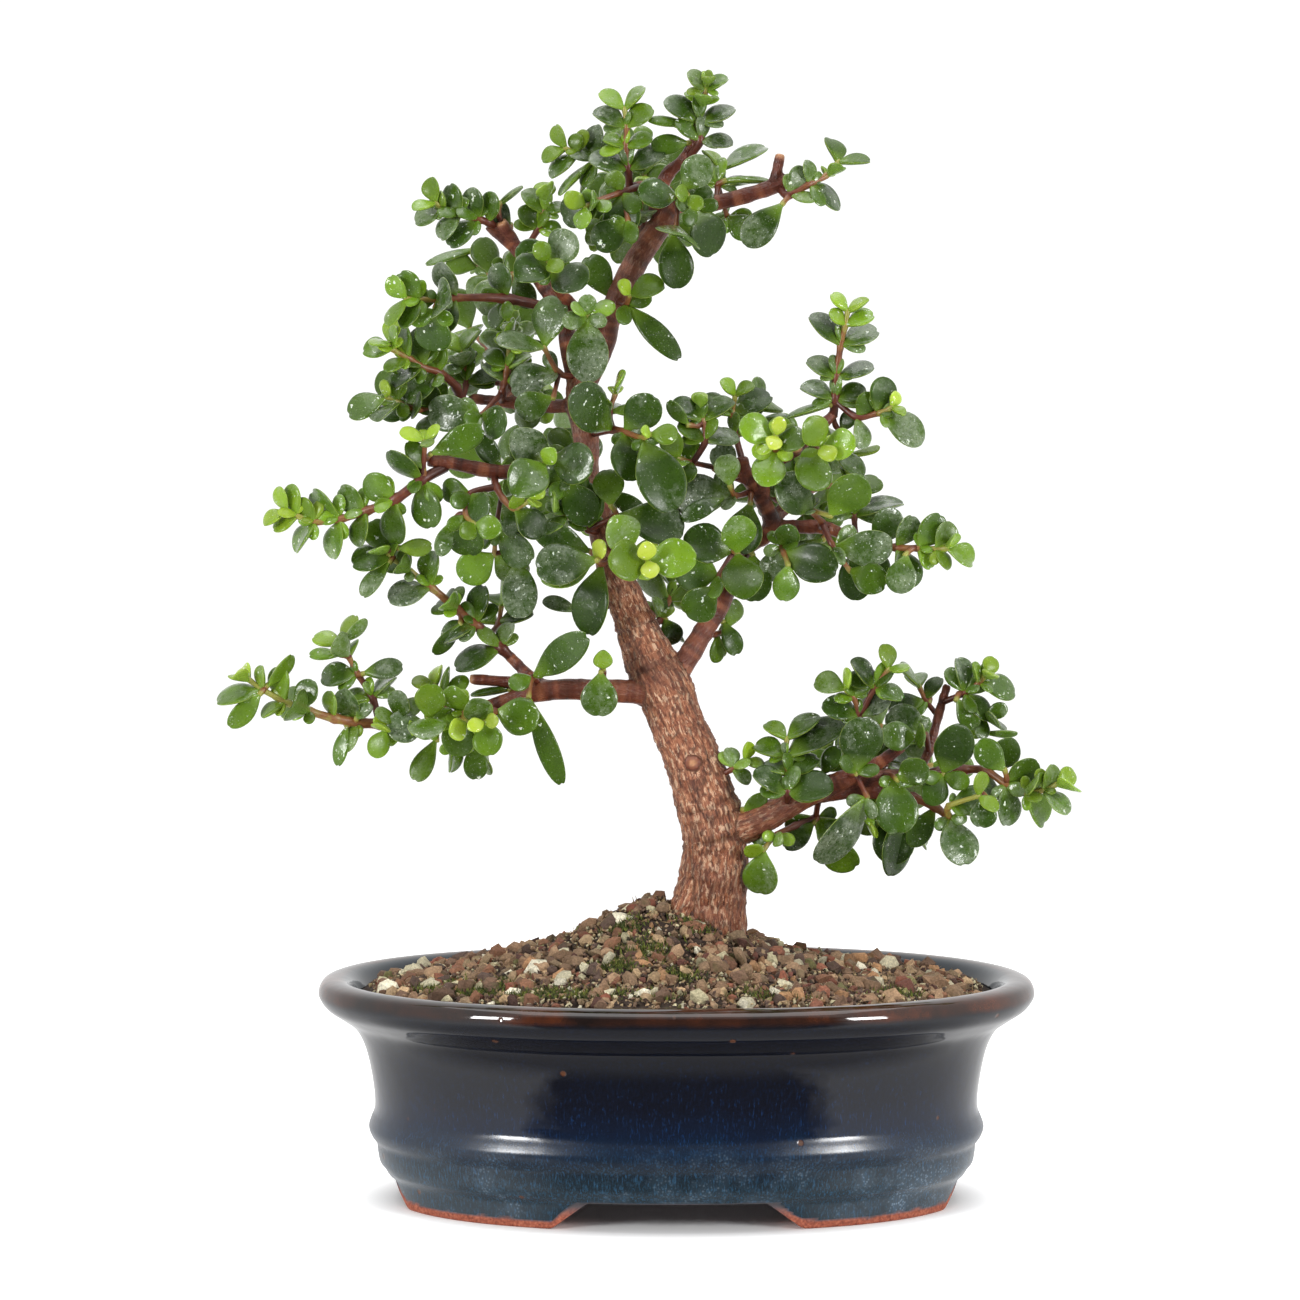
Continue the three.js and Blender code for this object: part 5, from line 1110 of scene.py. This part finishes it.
def leaf_points(grid, base, forward, up, across, long, wide, variety):
    """Obovate leaf: half width sin(pi/2 t/w)^1.2 to its widest at w, then an ellipse to the tip; a lens
    across, edges raised by a square law of the distance from the midrib, tip bent by a square law of the
    length and drawn in by notch times its sixth power."""
    thick, cup, bend, fold, twist, widest, wave, notch = variety
    rows, rounds = grid[:2]
    t = rows[:, None]
    past = np.clip((t - widest) / (1 - widest), 0, 1)
    to_widest = np.sin(np.pi / 2 * np.minimum(t / widest, 1)) ** 1.2
    half = np.where(t < widest, to_widest, np.sqrt(1 - past ** 2.1))
    half = np.maximum(half, 0.1) * wide / 2
    body = thick / 2 * np.clip(np.sin(np.pi * (0.12 + 0.86 * t)) ** 0.5, 0.35, 1)
    x = half * np.cos(rounds)
    level = np.abs(np.cos(rounds))
    z = body * np.sin(rounds) + level ** 2 * cup * half + fold * np.abs(x)
    z = z + wave * np.sin(9 * t + 40 * wave) * np.cos(rounds) - bend * long * t ** 2
    lean = twist * (t - 0.2)
    x, z = x * np.cos(lean) - z * np.sin(lean), x * np.sin(lean) + z * np.cos(lean)
    along = long * t - notch * long * t ** 6 * (1 - level)
    return (base + along[..., None] * forward + x[..., None] * across + z[..., None] * up).reshape(-1, 3)


def axil_pair(node_frame, side, seed):
    """Frames of the two small leaves in a leaf's axil, between leaf and stem, turned to the light."""
    base, along, aside, tip, _ = node_frame
    light = np.array([0.3 * side * aside[0], -1.0 if base[1] <= CROWN_BACK else 1.0, 0.45])
    bud = unit(along * 0.75 + side * aside * 0.7 + unit(light) * 0.45)
    spin = unit(np.cross(bud, light) + 0.5 * along * (draw(seed + 0.21) - 0.5))
    for way in (1, -1):
        forward = unit(bud * 0.7 + way * spin * (0.75 + 0.3 * draw(seed + 0.13 * way)))
        up = unit(unit(light) + bud * 0.6 - forward * (forward @ (unit(light) + bud * 0.6)))
        long = (4.8 + 4.2 * draw(seed + 0.87 + 0.1 * way)) * (1 - 0.35 * tip)
        yield base + bud * 0.5, forward, up, np.cross(forward, up), long, 0.84 * long


# x, z of foot and of tip in the front view, width, roll, youth, depth beside the nearest wood
LONE_LEAVES = [
    (-1.2, 269.3, 0.5, 253.5, 11.7, 10, 0.05, 1), (29.7, 277.1, 18.9, 265.4, 10.6, 5, 0.05, -3),
    (-17.9, 250.4, -24.6, 262.6, 10.0, 15, 0.1, 2), (-44.9, 257.4, -40.2, 247.9, 7.8, 10, 0.1, -2),
    (3.8, 293.5, -7.0, 292.9, 6.7, 20, 0.2, -1), (4.4, 298.2, -7.9, 300.4, 4.2, 20, 0.25, 0),
    (12.8, 282.9, 25.8, 284.3, 4.4, 60, 0.3, -1), (-22.9, 288.5, -33.2, 279.3, 4.2, 50, 0.35, -1),
    (-45.7, 270.4, -51.9, 276.5, 8.3, 10, 0.05, 2), (-54.1, 264.3, -70.0, 261.0, 4.7, 40, 0.2, 0),
    (-49.1, 276.5, -42.4, 281.8, 3.1, 60, 0.3, 0), (-77.8, 181.5, -67.7, 182.0, 6.1, 30, 0.55, -1),
    (-62.4, 189.2, -65.8, 179.2, 6.1, 20, 0.1, 2), (-68.6, 207.3, -53.5, 214.5, 8.8, 15, 0.2, -4),
    (-48.5, 202.6, -55.2, 212.6, 7.2, 0, 0, 3), (-70.0, 203.1, -74.4, 211.2, 6.7, 10, 0.25, -1),
    (-23.5, 180.3, -39.6, 187.0, 9.5, 15, 0.05, 3), (-21.8, 178.1, -39.3, 175.6, 14.5, 12, 0, -4),
    (-43.8, 179.2, -43.5, 161.7, 11.7, 5, 0, 0), (-26.8, 163.7, -37.1, 167.0, 5.6, 20, 0.1, 2),
    (-20.9, 147.3, -21.8, 134.5, 12.0, 0, 0.2, -6), (-19.6, 197.6, -8.4, 190.6, 6.7, 20, 0, 3),
    (-3.4, 162.0, -0.1, 154.8, 7.8, 10, 0.1, 0), (-79.2, 178.1, -87.5, 167.8, 6.7, 20, 0.25, -1),
    (-59.7, 160.9, -67.2, 151.7, 5.6, 30, 0.1, -1), (-45.7, 142.3, -57.4, 140.9, 3.6, 50, 0.1, 1),
    (-87.5, 146.4, -76.1, 148.9, 7.5, 15, 0.15, -2), (-66.6, 128.6, -73.0, 116.4, 7.5, 10, 0.35, -1),
    (-55.8, 128.1, -55.8, 116.7, 8.1, 5, 0.2, -1), (-91.4, 132.5, -94.7, 120.6, 5.6, 20, 0.2, -1),
    (-115.4, 141.4, -124.3, 131.4, 7.0, 20, 0.35, -1), (-114.2, 142.8, -106.2, 151.4, 6.1, 55, 0.35, 0),
    (-104.8, 136.4, -101.4, 144.8, 8.3, 10, 0.15, -2), (-92.8, 151.7, -102.3, 152.0, 4.7, 20, 0.3, -1),
    (-89.2, 133.6, -84.7, 137.8, 5.0, 20, 0.2, -2), (-92.8, 155.3, -85.8, 161.2, 5.0, 50, 0.3, -1),
    (40.6, 118.1, 45.1, 126.1, 6.7, 10, 0.05, 2), (18.3, 108.1, 25.3, 112.5, 5.6, 25, 0.35, -2),
    (38.7, 105.3, 30.0, 97.8, 7.5, 10, 0.1, -1), (61.5, 109.2, 60.1, 93.1, 13.9, 5, 0, 3),
    (72.4, 109.7, 65.1, 98.3, 7.8, 10, 0.05, 3), (77.9, 139.8, 83.5, 131.1, 7.2, 5, 0.2, -2),
    (91.8, 119.2, 83.8, 127.5, 9.2, 10, 0.15, -3), (85.7, 130.0, 95.2, 129.5, 3.3, 60, 0.3, 0),
    (86.0, 112.8, 84.9, 103.3, 8.9, 10, 0.05, 3), (70.7, 139.2, 65.4, 134.5, 5.0, 30, 0.2, 0),
    (20.6, 194.2, 17.2, 179.8, 12.8, 0, 0, -5), (41.2, 184.2, 29.2, 176.5, 8.9, 15, 0, 0),
    (3.8, 215.4, -2.6, 222.0, 5.0, 30, 0.2, -2), (43.4, 221.5, 30.3, 218.4, 4.7, 50, 0.15, 0),
    (16.4, 202.6, 10.5, 209.8, 8.9, 0, 0.15, -5), (50.6, 182.3, 49.5, 167.0, 11.7, 10, 0, 2),
    (64.0, 180.1, 61.5, 168.9, 10.0, 5, 0.1, -2), (14.4, 195.6, 1.3, 189.8, 6.7, 15, 0, 0),
    (12.8, 161.2, 17.2, 151.7, 7.0, 10, 0.1, -1), (21.1, 180.1, 21.9, 166.4, 11.7, 0, 0.15, -5),
    (45.6, 213.7, 49.2, 219.5, 5.6, 10, 0.05, 2),
]
# Leaves of the frame that LONE_LEAVES has in their real place: their middles in the front view.
MOVED = [(-20.7, 143.1), (35.0, 271.0), (54.8, 200.4), (-99.8, 127.5), (-85.3, 152.5), (20.6, 155.9)]
MOVED_NEAR = 3  # a leaf this near to one of them is the one that is meant
SAME_PLACE = 0.05  # a corner this near to a vertex of the frame lies on it
SAME_CORNERS = 3  # with this many corners on the frame's vertices, a leaf stands as its solid does


def front_view(points):
    """Where points appear in the front view: the reverse of seen."""
    x, depth, z = points[..., 0] - POT_MIDDLE, points[..., 1], points[..., 2]
    scale = EYE_DISTANCE / (EYE_DISTANCE + depth)
    return np.stack([EYE_X + (x - EYE_X) * scale, EYE_Z + (z - EYE_Z) * scale], -1)


TWIG_THIN, TWIG_THICK = 0.7, 1.7
TWIG_STEPS = 5
TWIG_COLUMNS = 8
BACK_LIMBS = ("back_top", "back_left", "back_middle", "back_right", "back_low_right")
BACK_SHOOTS = (0.28, 0.42, 0.56, 0.7, 0.84)  # shares of a back limb
BACK_TURN = 2.4  # radians from one of its shoots to the next
BACK_ROWS = (0, 5, 9.5, 13)  # how far along a short shoot its root and its leaves stand
BACK_LEAVES = (8.5, 8, 5.5)  # their lengths
GROWN_LEAF = 9.5  # leaves that are shorter in the table look younger
OLD_LEAF = 13  # leaves from this length on aren't brightened
BRIGHT = {  # how young a spray's leaves look, over what their place on the shoot gives
    "bright_cross": 0.45, "bright_inner": 0.3, "bright_outer": 0.3, "low_left_front": 0.3,
    "mid_left_wing": 0.15, "low_left_wing": 0.15, "low_right_end": 0.1, "crown_left": 0.05,
    "tall_twig": 0.05,
}


def foliage():
    """Empty lists for the leaves and twigs of one piece."""
    keys = ("points", "faces", "kinds", "forms", "stems", "stem_faces", "stem_kinds")
    return {key: [] for key in keys}


def lay_leaf(parts, grid, place, kind, variety):
    """Adds one leaf and its attributes to the parts."""
    parts["faces"] += (grid[2] + sum(map(len, parts["points"]))).tolist()
    parts["points"].append(leaf_points(grid, *place, variety))
    parts["kinds"].append(np.tile(kind, (len(grid[3]), 1)))
    parts["forms"].append(grid[3])


def lay_twig(parts, points, seed):
    """Adds a tapering twig through the points, thicker at its nodes; its attribute is the share of its
    length, its thickness and a random number."""
    points = np.vstack([points, points[-1] + unit(points[-1] - points[-2])])
    to_tip = np.linalg.norm(np.diff(points, axis=0), axis=1)[::-1].cumsum()[::-1]
    radii = np.minimum(TWIG_THIN + 0.026 * np.append(to_tip, 0), TWIG_THICK)
    line = smooth_path(np.hstack([points, radii[:, None]]), TWIG_STEPS)
    if len(points) > 2:
        to_node = np.linalg.norm(line[:, None, :3] - points[None, 1:-1], axis=-1).min(axis=1)
        line[:, 3] *= 0.86 + 0.3 * np.exp(-(to_node / 1.1) ** 2)
    offset = sum(map(len, parts["stems"]))
    tube_points, faces = closed_tube(line[:, :3], line[:, 3], TWIG_COLUMNS, offset)
    parts["stems"].append(tube_points)
    parts["stem_faces"] += faces
    own = np.full(len(line), draw(seed + 0.9))
    kind = np.stack([np.linspace(0, 1, len(line)), line[:, 3] / TWIG_THICK, own], -1)
    parts["stem_kinds"].append(np.repeat(kind, TWIG_COLUMNS, axis=0))


def lay_pair_leaf(parts, node_frame, side, where, size, bright, seed):
    """Adds a leaf of a pair, and in most axils two small ones; smaller leaves and those nearer to the tip
    look younger."""
    tip = node_frame[3]
    youth = np.clip((GROWN_LEAF - size) / 6, 0, 1) * 0.55 + 0.25 * tip ** 2 + bright
    youth = float(np.clip(youth + 0.25 * (draw(seed + 0.11) - 0.6), 0, 1))
    variety = (2.0 + 0.5 * draw(seed + 0.2), 0.08 + 0.22 * draw(seed + 0.3), 0.02 + 0.12 * draw(seed + 0.4),
               0.34 * draw(seed + 0.5) ** 2, 0.5 * (draw(seed + 0.6) - 0.5), 0.52 + 0.1 * draw(seed + 0.65),
               0.35 * draw(seed + 0.75) ** 2 * where[5] / WIDEST_BLADE, 0.09 * draw(seed + 0.85))
    kind = (draw(seed + 0.7), draw(seed + 0.8))
    lay_leaf(parts, LEAF, where[:5] + (where[5] * LEAF_PLUMP,), (youth, *kind), variety)
    if draw(seed + 0.83) < AXIL_SHARE and tip < 0.9:
        small = (1.5, 0.12, 0.08, 0.05, 0.3 * (draw(seed + 0.91) - 0.5), 0.55, 0, 0.04)
        for pair in axil_pair(node_frame, side, seed):
            lay_leaf(parts, YOUNG_LEAF, pair, (min(youth + 0.2, 0.72), *kind), small)


def close_foliage(name, parts, node=None):
    """Makes the pieces of twigs and of leaves, in place of the node of the frame if one is named."""
    stems = make_piece("twigs_" + name, np.vstack(parts["stems"]), parts["stem_faces"], stem,
                       attributes={"twig": np.vstack(parts["stem_kinds"])})
    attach(stems, "root")
    main = stems
    if parts["points"]:
        main = make_piece("leaves_" + name, np.vstack(parts["points"]), parts["faces"], leaf,
                          attributes={"leaf": np.vstack(parts["kinds"]), "form": np.vstack(parts["forms"])})
        rounding = main.modifiers.new("rounding", "SUBSURF")
        rounding.levels = rounding.render_levels = 1
        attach(main, "root")
    if node:
        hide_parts(node)


leaf, tree, shader = new_material("jade_leaf")
stem, stem_tree, stem_shader = new_material("young_jade_twig")
seed = 0
perches = [axis[:, :3]]
for spray, shoots in SPRAYS.items():
    corners = vertex_values(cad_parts["spray_" + spray].data, "co") / MM
    parts = foliage()
    for rows in shoots:
        perches.append(seen(rows))
        lay_twig(parts, perches[-1], seed)
        for node_frame, node in zip(shoot_frames(rows), rows[1:]):
            length = node[3]
            partner = node[5] if len(node) > 5 else length
            for side, size in ((1, length), (-1, partner)):
                seed += 1
                if size <= 0:
                    continue
                where = blade_frame(node_frame, side, size, seed, (0, 0, 1))
                if size >= LEAST_BLADE:
                    scores = []
                    for change in BLADE_TRIES:
                        trial = blade_frame(node_frame, side, size, seed, change)
                        gaps = np.linalg.norm(blade_corners(*trial)[:, None] - corners[None], axis=-1)
                        scores.append((int((gaps.min(axis=1) < SAME_PLACE).sum()), trial))
                    score, where = max(scores, key=lambda pair: pair[0])
                    middle = front_view(where[0] + where[1] * where[4] / 2)
                    moved = np.linalg.norm(middle - MOVED, axis=1).min() < MOVED_NEAR
                    if score < SAME_CORNERS or moved:
                        continue
                bright = BRIGHT.get(spray, 0) * (size < OLD_LEAF)
                lay_pair_leaf(parts, node_frame, side, where, size, bright, seed)
    close_foliage(spray, parts, "spray_" + spray)

# Single leaves, each on a spur from the nearest wood.
perches = np.vstack(perches)
perch_places = front_view(perches)
parts = foliage()
for i, (x, z, tip_x, tip_z, wide, roll, youth, beside) in enumerate(LONE_LEAVES):
    perch = perches[np.argmin(np.linalg.norm(perch_places - (x, z), axis=1))]
    length = math.hypot(tip_x - x, tip_z - z)
    base, end = seen([(x, z, perch[1] + beside), (tip_x, tip_z, perch[1] + beside - 0.2 * length)])
    forward = unit(end - base)
    facing = np.array([0, -1, 0.25])
    facing = unit(facing - forward * (facing @ forward))
    roll = math.radians(roll if i % 2 else -roll)
    up = facing * math.cos(roll) + np.cross(forward, facing) * math.sin(roll)
    variety = (2.0 + 0.5 * draw(i + 0.2), 0.08 + 0.18 * draw(i + 0.3), 0.02 + 0.1 * draw(i + 0.4),
               0.34 * draw(i + 0.5) ** 2, 0.4 * (draw(i + 0.6) - 0.5), 0.56 + 0.1 * draw(i + 0.65),
               0.3 * draw(i + 0.75) ** 2 * wide / WIDEST_BLADE, 0.09 * draw(i + 0.85))
    lay_leaf(parts, LEAF, (base, forward, up, np.cross(forward, up), np.linalg.norm(end - base), wide),
             (youth, draw(i + 0.7), draw(i + 0.8)), variety)
    lay_twig(parts, np.array([perch, (perch + base) / 2 - forward * 0.6, base + forward * 0.3]), i)
close_foliage("on_spurs", parts)

# Short leafy shoots all round the limbs that reach to the back.
parts = foliage()
for name in BACK_LIMBS:
    limb = smooth_path(seen(WOOD[name]), LIMB_STEPS)
    onward = unit(limb[-1] - limb[0])
    aside = unit(np.cross(onward, (0.2, 0.1, 1)))
    over = np.cross(onward, aside)
    for share in BACK_SHOOTS:
        seed += 1
        angle = BACK_TURN * seed
        out = unit(aside * math.cos(angle) + over * math.sin(angle) + onward * 0.4 + (0, 0, 0.25))
        points = limb[int(share * (len(limb) - 1))] + out * np.array(BACK_ROWS)[:, None]
        rows = [[*place, depth] for place, depth in zip(front_view(points).tolist(), points[:, 1].tolist())]
        rows = rows[:1] + [row + [size] for row, size in zip(rows[1:], BACK_LEAVES)]
        lay_twig(parts, points, seed)
        for node_frame, node in zip(shoot_frames(rows), rows[1:]):
            for side in (1, -1):
                seed += 1
                where = blade_frame(node_frame, side, node[3] * (0.85 + 0.3 * draw(seed)), seed, (0, 0, 1))
                lay_pair_leaf(parts, node_frame, side, where, node[3], 0, seed)
close_foliage("at_the_back", parts)

# Thick waxy leaf: deep olive green with a soft gloss, yellow-green while young, greyer underneath, with a
# thin pale rim; dried water leaves a film and fine specks on the old ones, and some are wet in places,
# with small near-white painted highlights for the glints of water on their upper faces.
kind = add_node(tree, "Attribute", attribute_name="leaf").outputs["Vector"]
kind = add_node(tree, "SeparateXYZ", {0: kind}).outputs
form = add_node(tree, "Attribute", attribute_name="form").outputs["Vector"]
form = add_node(tree, "SeparateXYZ", {0: form}).outputs
place = add_node(tree, "TexCoord").outputs["Object"]
age_noise = add_node(tree, "TexNoise", {"Vector": place, "Scale": 130, "Detail": 3})
youth = add_node(tree, "Math", {0: age_noise, 1: 0.34, 2: kind[0]}, operation="MULTIPLY_ADD")
youth = add_node(tree, "Math", {0: youth, 1: -0.17}, operation="ADD")
green = add_node(tree, "ValToRGB", {0: youth}, stops=[
    (0.0, "#2a410c"), (0.25, "#446012"), (0.5, "#67871b"), (0.75, "#8ba528"), (1.0, "#9fae3a")])
spread = add_node(tree, "MapRange", {0: kind[1], 3: 0.65, 4: 1.45})
green = add_node(tree, "VectorMath", {0: green, "Scale": spread}, operation="SCALE")
leaf_foot = add_node(tree, "MapRange", {0: form[0], 1: 0.38, 2: 0.02, 3: 0.0, 4: 0.6})
under = add_node(tree, "MapRange", {0: form[2], 1: -0.1, 2: -0.6, 3: 0.0, 4: 0.5})
rim = add_node(tree, "MapRange", {0: form[1], 1: 0.93, 2: 1.0, 3: 0.0, 4: 0.6})
mottle = add_node(tree, "TexNoise", {"Vector": place, "Scale": 1000, "Detail": 4, "Roughness": 0.7})
film = add_node(tree, "TexNoise", {"Vector": place, "Scale": 190, "Detail": 5, "Roughness": 0.7})
film = add_node(tree, "Math", {0: kind[2], 1: 0.42, 2: film}, operation="MULTIPLY_ADD")
film = add_node(tree, "Math", {0: form[0], 1: 0.16, 2: film}, operation="MULTIPLY_ADD")
film = add_node(tree, "MapRange", {0: film, 1: 0.86, 2: 1.06})
old_leaf = add_node(tree, "MapRange", {0: youth, 1: 0.65, 2: 0.3})
film = add_node(tree, "Math", {0: film, 1: old_leaf}, operation="MULTIPLY")
grainy = add_node(tree, "MapRange", {0: mottle, 1: 0.35, 2: 0.65, 3: 0.2, 4: 1.0})
haze = add_node(tree, "Math", {0: film, 1: grainy}, operation="MULTIPLY")
speck = add_node(tree, "TexVoronoi", {"Vector": place, "Scale": 1100}).outputs["Distance"]
speck = add_node(tree, "MapRange", {0: speck, 1: 0.2, 2: 0.08})
speck_share = add_node(tree, "Math", {0: film, 1: 0.6, 2: 0.3}, operation="MULTIPLY_ADD")
speck = add_node(tree, "Math", {0: speck, 1: speck_share}, operation="MULTIPLY")
chalk = add_node(tree, "Math", {0: haze, 1: 0.34, 2: speck}, operation="MULTIPLY_ADD")
wet = add_node(tree, "TexNoise", {"Vector": place, "Scale": 95, "Detail": 3, "Roughness": 0.6})
wet = add_node(tree, "Math", {0: kind[1], 1: 0.22, 2: wet}, operation="MULTIPLY_ADD")
wet = add_node(tree, "MapRange", {0: wet, 1: 0.6, 2: 0.63})
# Painted highlights: small near-white spots on the wet places of the upper face, for glints of water.
painted_glints = add_node(tree, "TexNoise", {"Vector": place, "Scale": 620, "Detail": 2, "Roughness": 0.6})
painted_glints = add_node(tree, "MapRange", {0: painted_glints, 1: 0.66, 2: 0.69})
painted_glints = add_node(tree, "Math", {0: painted_glints, 1: wet}, operation="MULTIPLY")
upper = add_node(tree, "MapRange", {0: form[2], 1: 0.2, 2: 0.6, 3: 0.0, 4: 0.85})
painted_glints = add_node(tree, "Math", {0: painted_glints, 1: upper}, operation="MULTIPLY")
for share, code in ((leaf_foot, "#7fa032"), (under, "#668236"), (rim, "#a5b655"), (chalk, "#b9c2ad"),
                    (painted_glints, "#e2eadb")):
    green = add_node(tree, "Mix", {0: share, 6: green, 7: colour(code)}, data_type="RGBA")
rough = add_node(tree, "MapRange", {0: mottle, 1: 0.3, 2: 0.7, 3: 0.22, 4: 0.38})
bump = add_node(tree, "Bump", {"Strength": 0.16, "Distance": 0.0003, "Height": mottle})
water = add_node(tree, "TexNoise", {"Vector": place, "Scale": 560, "Detail": 3})
water = add_node(tree, "Math", {0: water, 1: wet}, operation="MULTIPLY")
ripple = add_node(tree, "Bump", {"Strength": 0.8, "Distance": 0.0004, "Height": water})
set_inputs(tree, shader, {
    "Base Color": green, "Roughness": rough, "IOR": 1.38, "Subsurface Weight": 0.1,
    "Subsurface Radius": (0.6, 1.0, 0.15), "Subsurface Scale": 0.001, "Normal": bump,
    "Coat Weight": wet, "Coat Normal": ripple, "Coat Roughness": 0.03, "Coat IOR": 1.33})

# Twig skin: smooth and wine red to brown at the foot, green at the growing tip, with a soft gloss.
twig = add_node(stem_tree, "Attribute", attribute_name="twig").outputs["Vector"]
twig = add_node(stem_tree, "SeparateXYZ", {0: twig}).outputs
place = add_node(stem_tree, "TexCoord").outputs["Object"]
streaky = add_node(stem_tree, "TexNoise", {"Vector": place, "Scale": 500, "Detail": 3})
green_share = add_node(stem_tree, "Math", {0: streaky, 1: 0.5, 2: twig[0]}, operation="MULTIPLY_ADD")
red = add_node(stem_tree, "ValToRGB", {0: green_share}, stops=[
    (0.2, "#3c1813"), (0.5, "#64301f"), (0.8, "#86582f"), (1.0, "#8f8f3e")])
bump = add_node(stem_tree, "Bump", {"Strength": 0.3, "Distance": 0.0003, "Height": streaky})
set_inputs(stem_tree, stem_shader, {"Base Color": red, "Roughness": 0.38, "Normal": bump})

# ---- Studio ----
# A pale floor inside a white tent: bright cloth at the sides, the back and above, and a dark open front.
# The floor glows by itself round the pot, which is painted light, and the glow fades out near the pot
# as a painted soft shadow. A large softbox hangs overhead, and a small one stands to each side of the
# camera; they give pot and leaves their gloss.
FLOOR_REACH = 640
FLOOR_DROP = 0.05  # keeps the paper clear of the soles
floor_turn = np.linspace(0, 2 * np.pi, 96, endpoint=False)
floor_points = np.stack([np.cos(floor_turn), np.sin(floor_turn), 0 * floor_turn], -1) * FLOOR_REACH
floor_points[:, 2] = -FLOOR_DROP
paper, tree, shader = new_material("white_paper_floor")
# Matt white paper with no gloss. It glows white round about the pot, which is painted light, and the glow
# fades to none near the pot, a painted soft shadow under it.
place = add_node(tree, "TexCoord").outputs["Object"]
pot_place = (POT_MIDDLE * MM, 0, 0)
from_pot = add_node(tree, "VectorMath", {0: place, 1: pot_place}, operation="SUBTRACT")
from_pot = add_node(tree, "VectorMath", {0: from_pot, 1: (1, 1.35, 0)}, operation="MULTIPLY")
from_pot = add_node(tree, "VectorMath", {0: from_pot}, operation="LENGTH").outputs["Value"]
# Painted light: the floor glows outside an oval round the pot, and the missing glow inside it paints a soft
# shadow.
painted_floor_glow = add_node(tree, "MapRange", {0: from_pot, 1: 0.075, 2: 0.095, 3: 0.0, 4: 0.78})
set_inputs(tree, shader, {
    "Base Color": (0.92, 0.92, 0.92, 1), "Roughness": 0.9, "Emission Strength": painted_floor_glow,
    "Emission Color": (1, 1, 1, 1)})
floor = make_piece("paper_floor", floor_points, [list(range(len(floor_points)))], paper)
floor.visible_glossy = False


def softbox(name, place, aim, size, radiance):
    """Area light at a place in millimetres, turned to face aim; its power is pi x area x radiance."""
    light = bpy.data.lights.new(name, "AREA")
    light.shape = "RECTANGLE"
    light.size, light.size_y = size[0] * MM, size[1] * MM
    light.energy = math.pi * light.size * light.size_y * radiance
    made = link_new(name, light)
    made.location = np.array(place) * MM
    made.rotation_euler = (Vector(aim) - Vector(place)).to_track_quat("-Z", "Y").to_euler()
    made.visible_camera = False


for name, x in (("left_softbox", -760), ("right_softbox", 760)):
    softbox(name, (x, -760, 420), (0, 0, 100), (230, 240), 34)
softbox("overhead_softbox", (0, -60, 1300), (0, 0, 0), (1300, 1300), 2.0)

world = bpy.data.worlds.new("white_tent")
bpy.context.scene.world = world
world.use_nodes = True
tree = world.node_tree
tree.nodes.clear()
direction = add_node(tree, "TexCoord").outputs["Generated"]
axes = add_node(tree, "SeparateXYZ", {0: direction}).outputs
flat = add_node(tree, "VectorMath", {0: direction, 1: (1, 1, 0)}, operation="MULTIPLY")
flat = add_node(tree, "VectorMath", {0: flat}, operation="LENGTH").outputs["Value"]
frontness = add_node(tree, "Math", {0: axes[1], 1: flat}, operation="DIVIDE")
folds = add_node(tree, "TexNoise", {"Vector": direction, "Scale": 3.5, "Detail": 3})
frontness = add_node(tree, "Math", {0: folds, 1: 0.25, 2: frontness}, operation="MULTIPLY_ADD")
gap = add_node(tree, "MapRange", {0: frontness, 1: -0.62, 2: -0.72})
top = add_node(tree, "MapRange", {0: axes[2], 1: 0.6, 2: 0.85, 3: 1.0, 4: 0.0})
gap = add_node(tree, "Math", {0: gap, 1: top}, operation="MULTIPLY")
bright = add_node(tree, "MapRange", {0: gap, 3: 1.0, 4: 0.12})
steep = add_node(tree, "MapRange", {0: axes[2], 1: -0.6, 2: -0.85})
bright = add_node(tree, "Mix", {0: steep, 2: bright, 3: 0.4})
ray = add_node(tree, "LightPath").outputs
soft_fill = add_node(tree, "Math", {0: bright, 1: 0.55}, operation="MULTIPLY")
bright = add_node(tree, "Mix", {0: ray["Is Diffuse Ray"], 2: bright, 3: soft_fill})
bright = add_node(tree, "Mix", {0: ray["Is Camera Ray"], 2: bright, 3: 1.1})
tent = add_node(tree, "Background", {"Color": (1, 1, 1, 1), "Strength": bright})
add_node(tree, "OutputWorld", {"Surface": tent})

camera_data = bpy.data.cameras.new("front_camera")
camera_data.sensor_width = 36
camera_data.lens = 119.63
camera_data.clip_end = 20
camera = link_new("front_camera", camera_data)
camera.location = ((EYE_X + POT_MIDDLE) * MM, -EYE_DISTANCE * MM, EYE_Z * MM)
camera.rotation_euler = (math.radians(87), 0, 0)
bpy.context.scene.camera = camera
bpy.context.scene.view_settings.view_transform = "Standard"
bpy.context.scene.view_settings.look = "None"
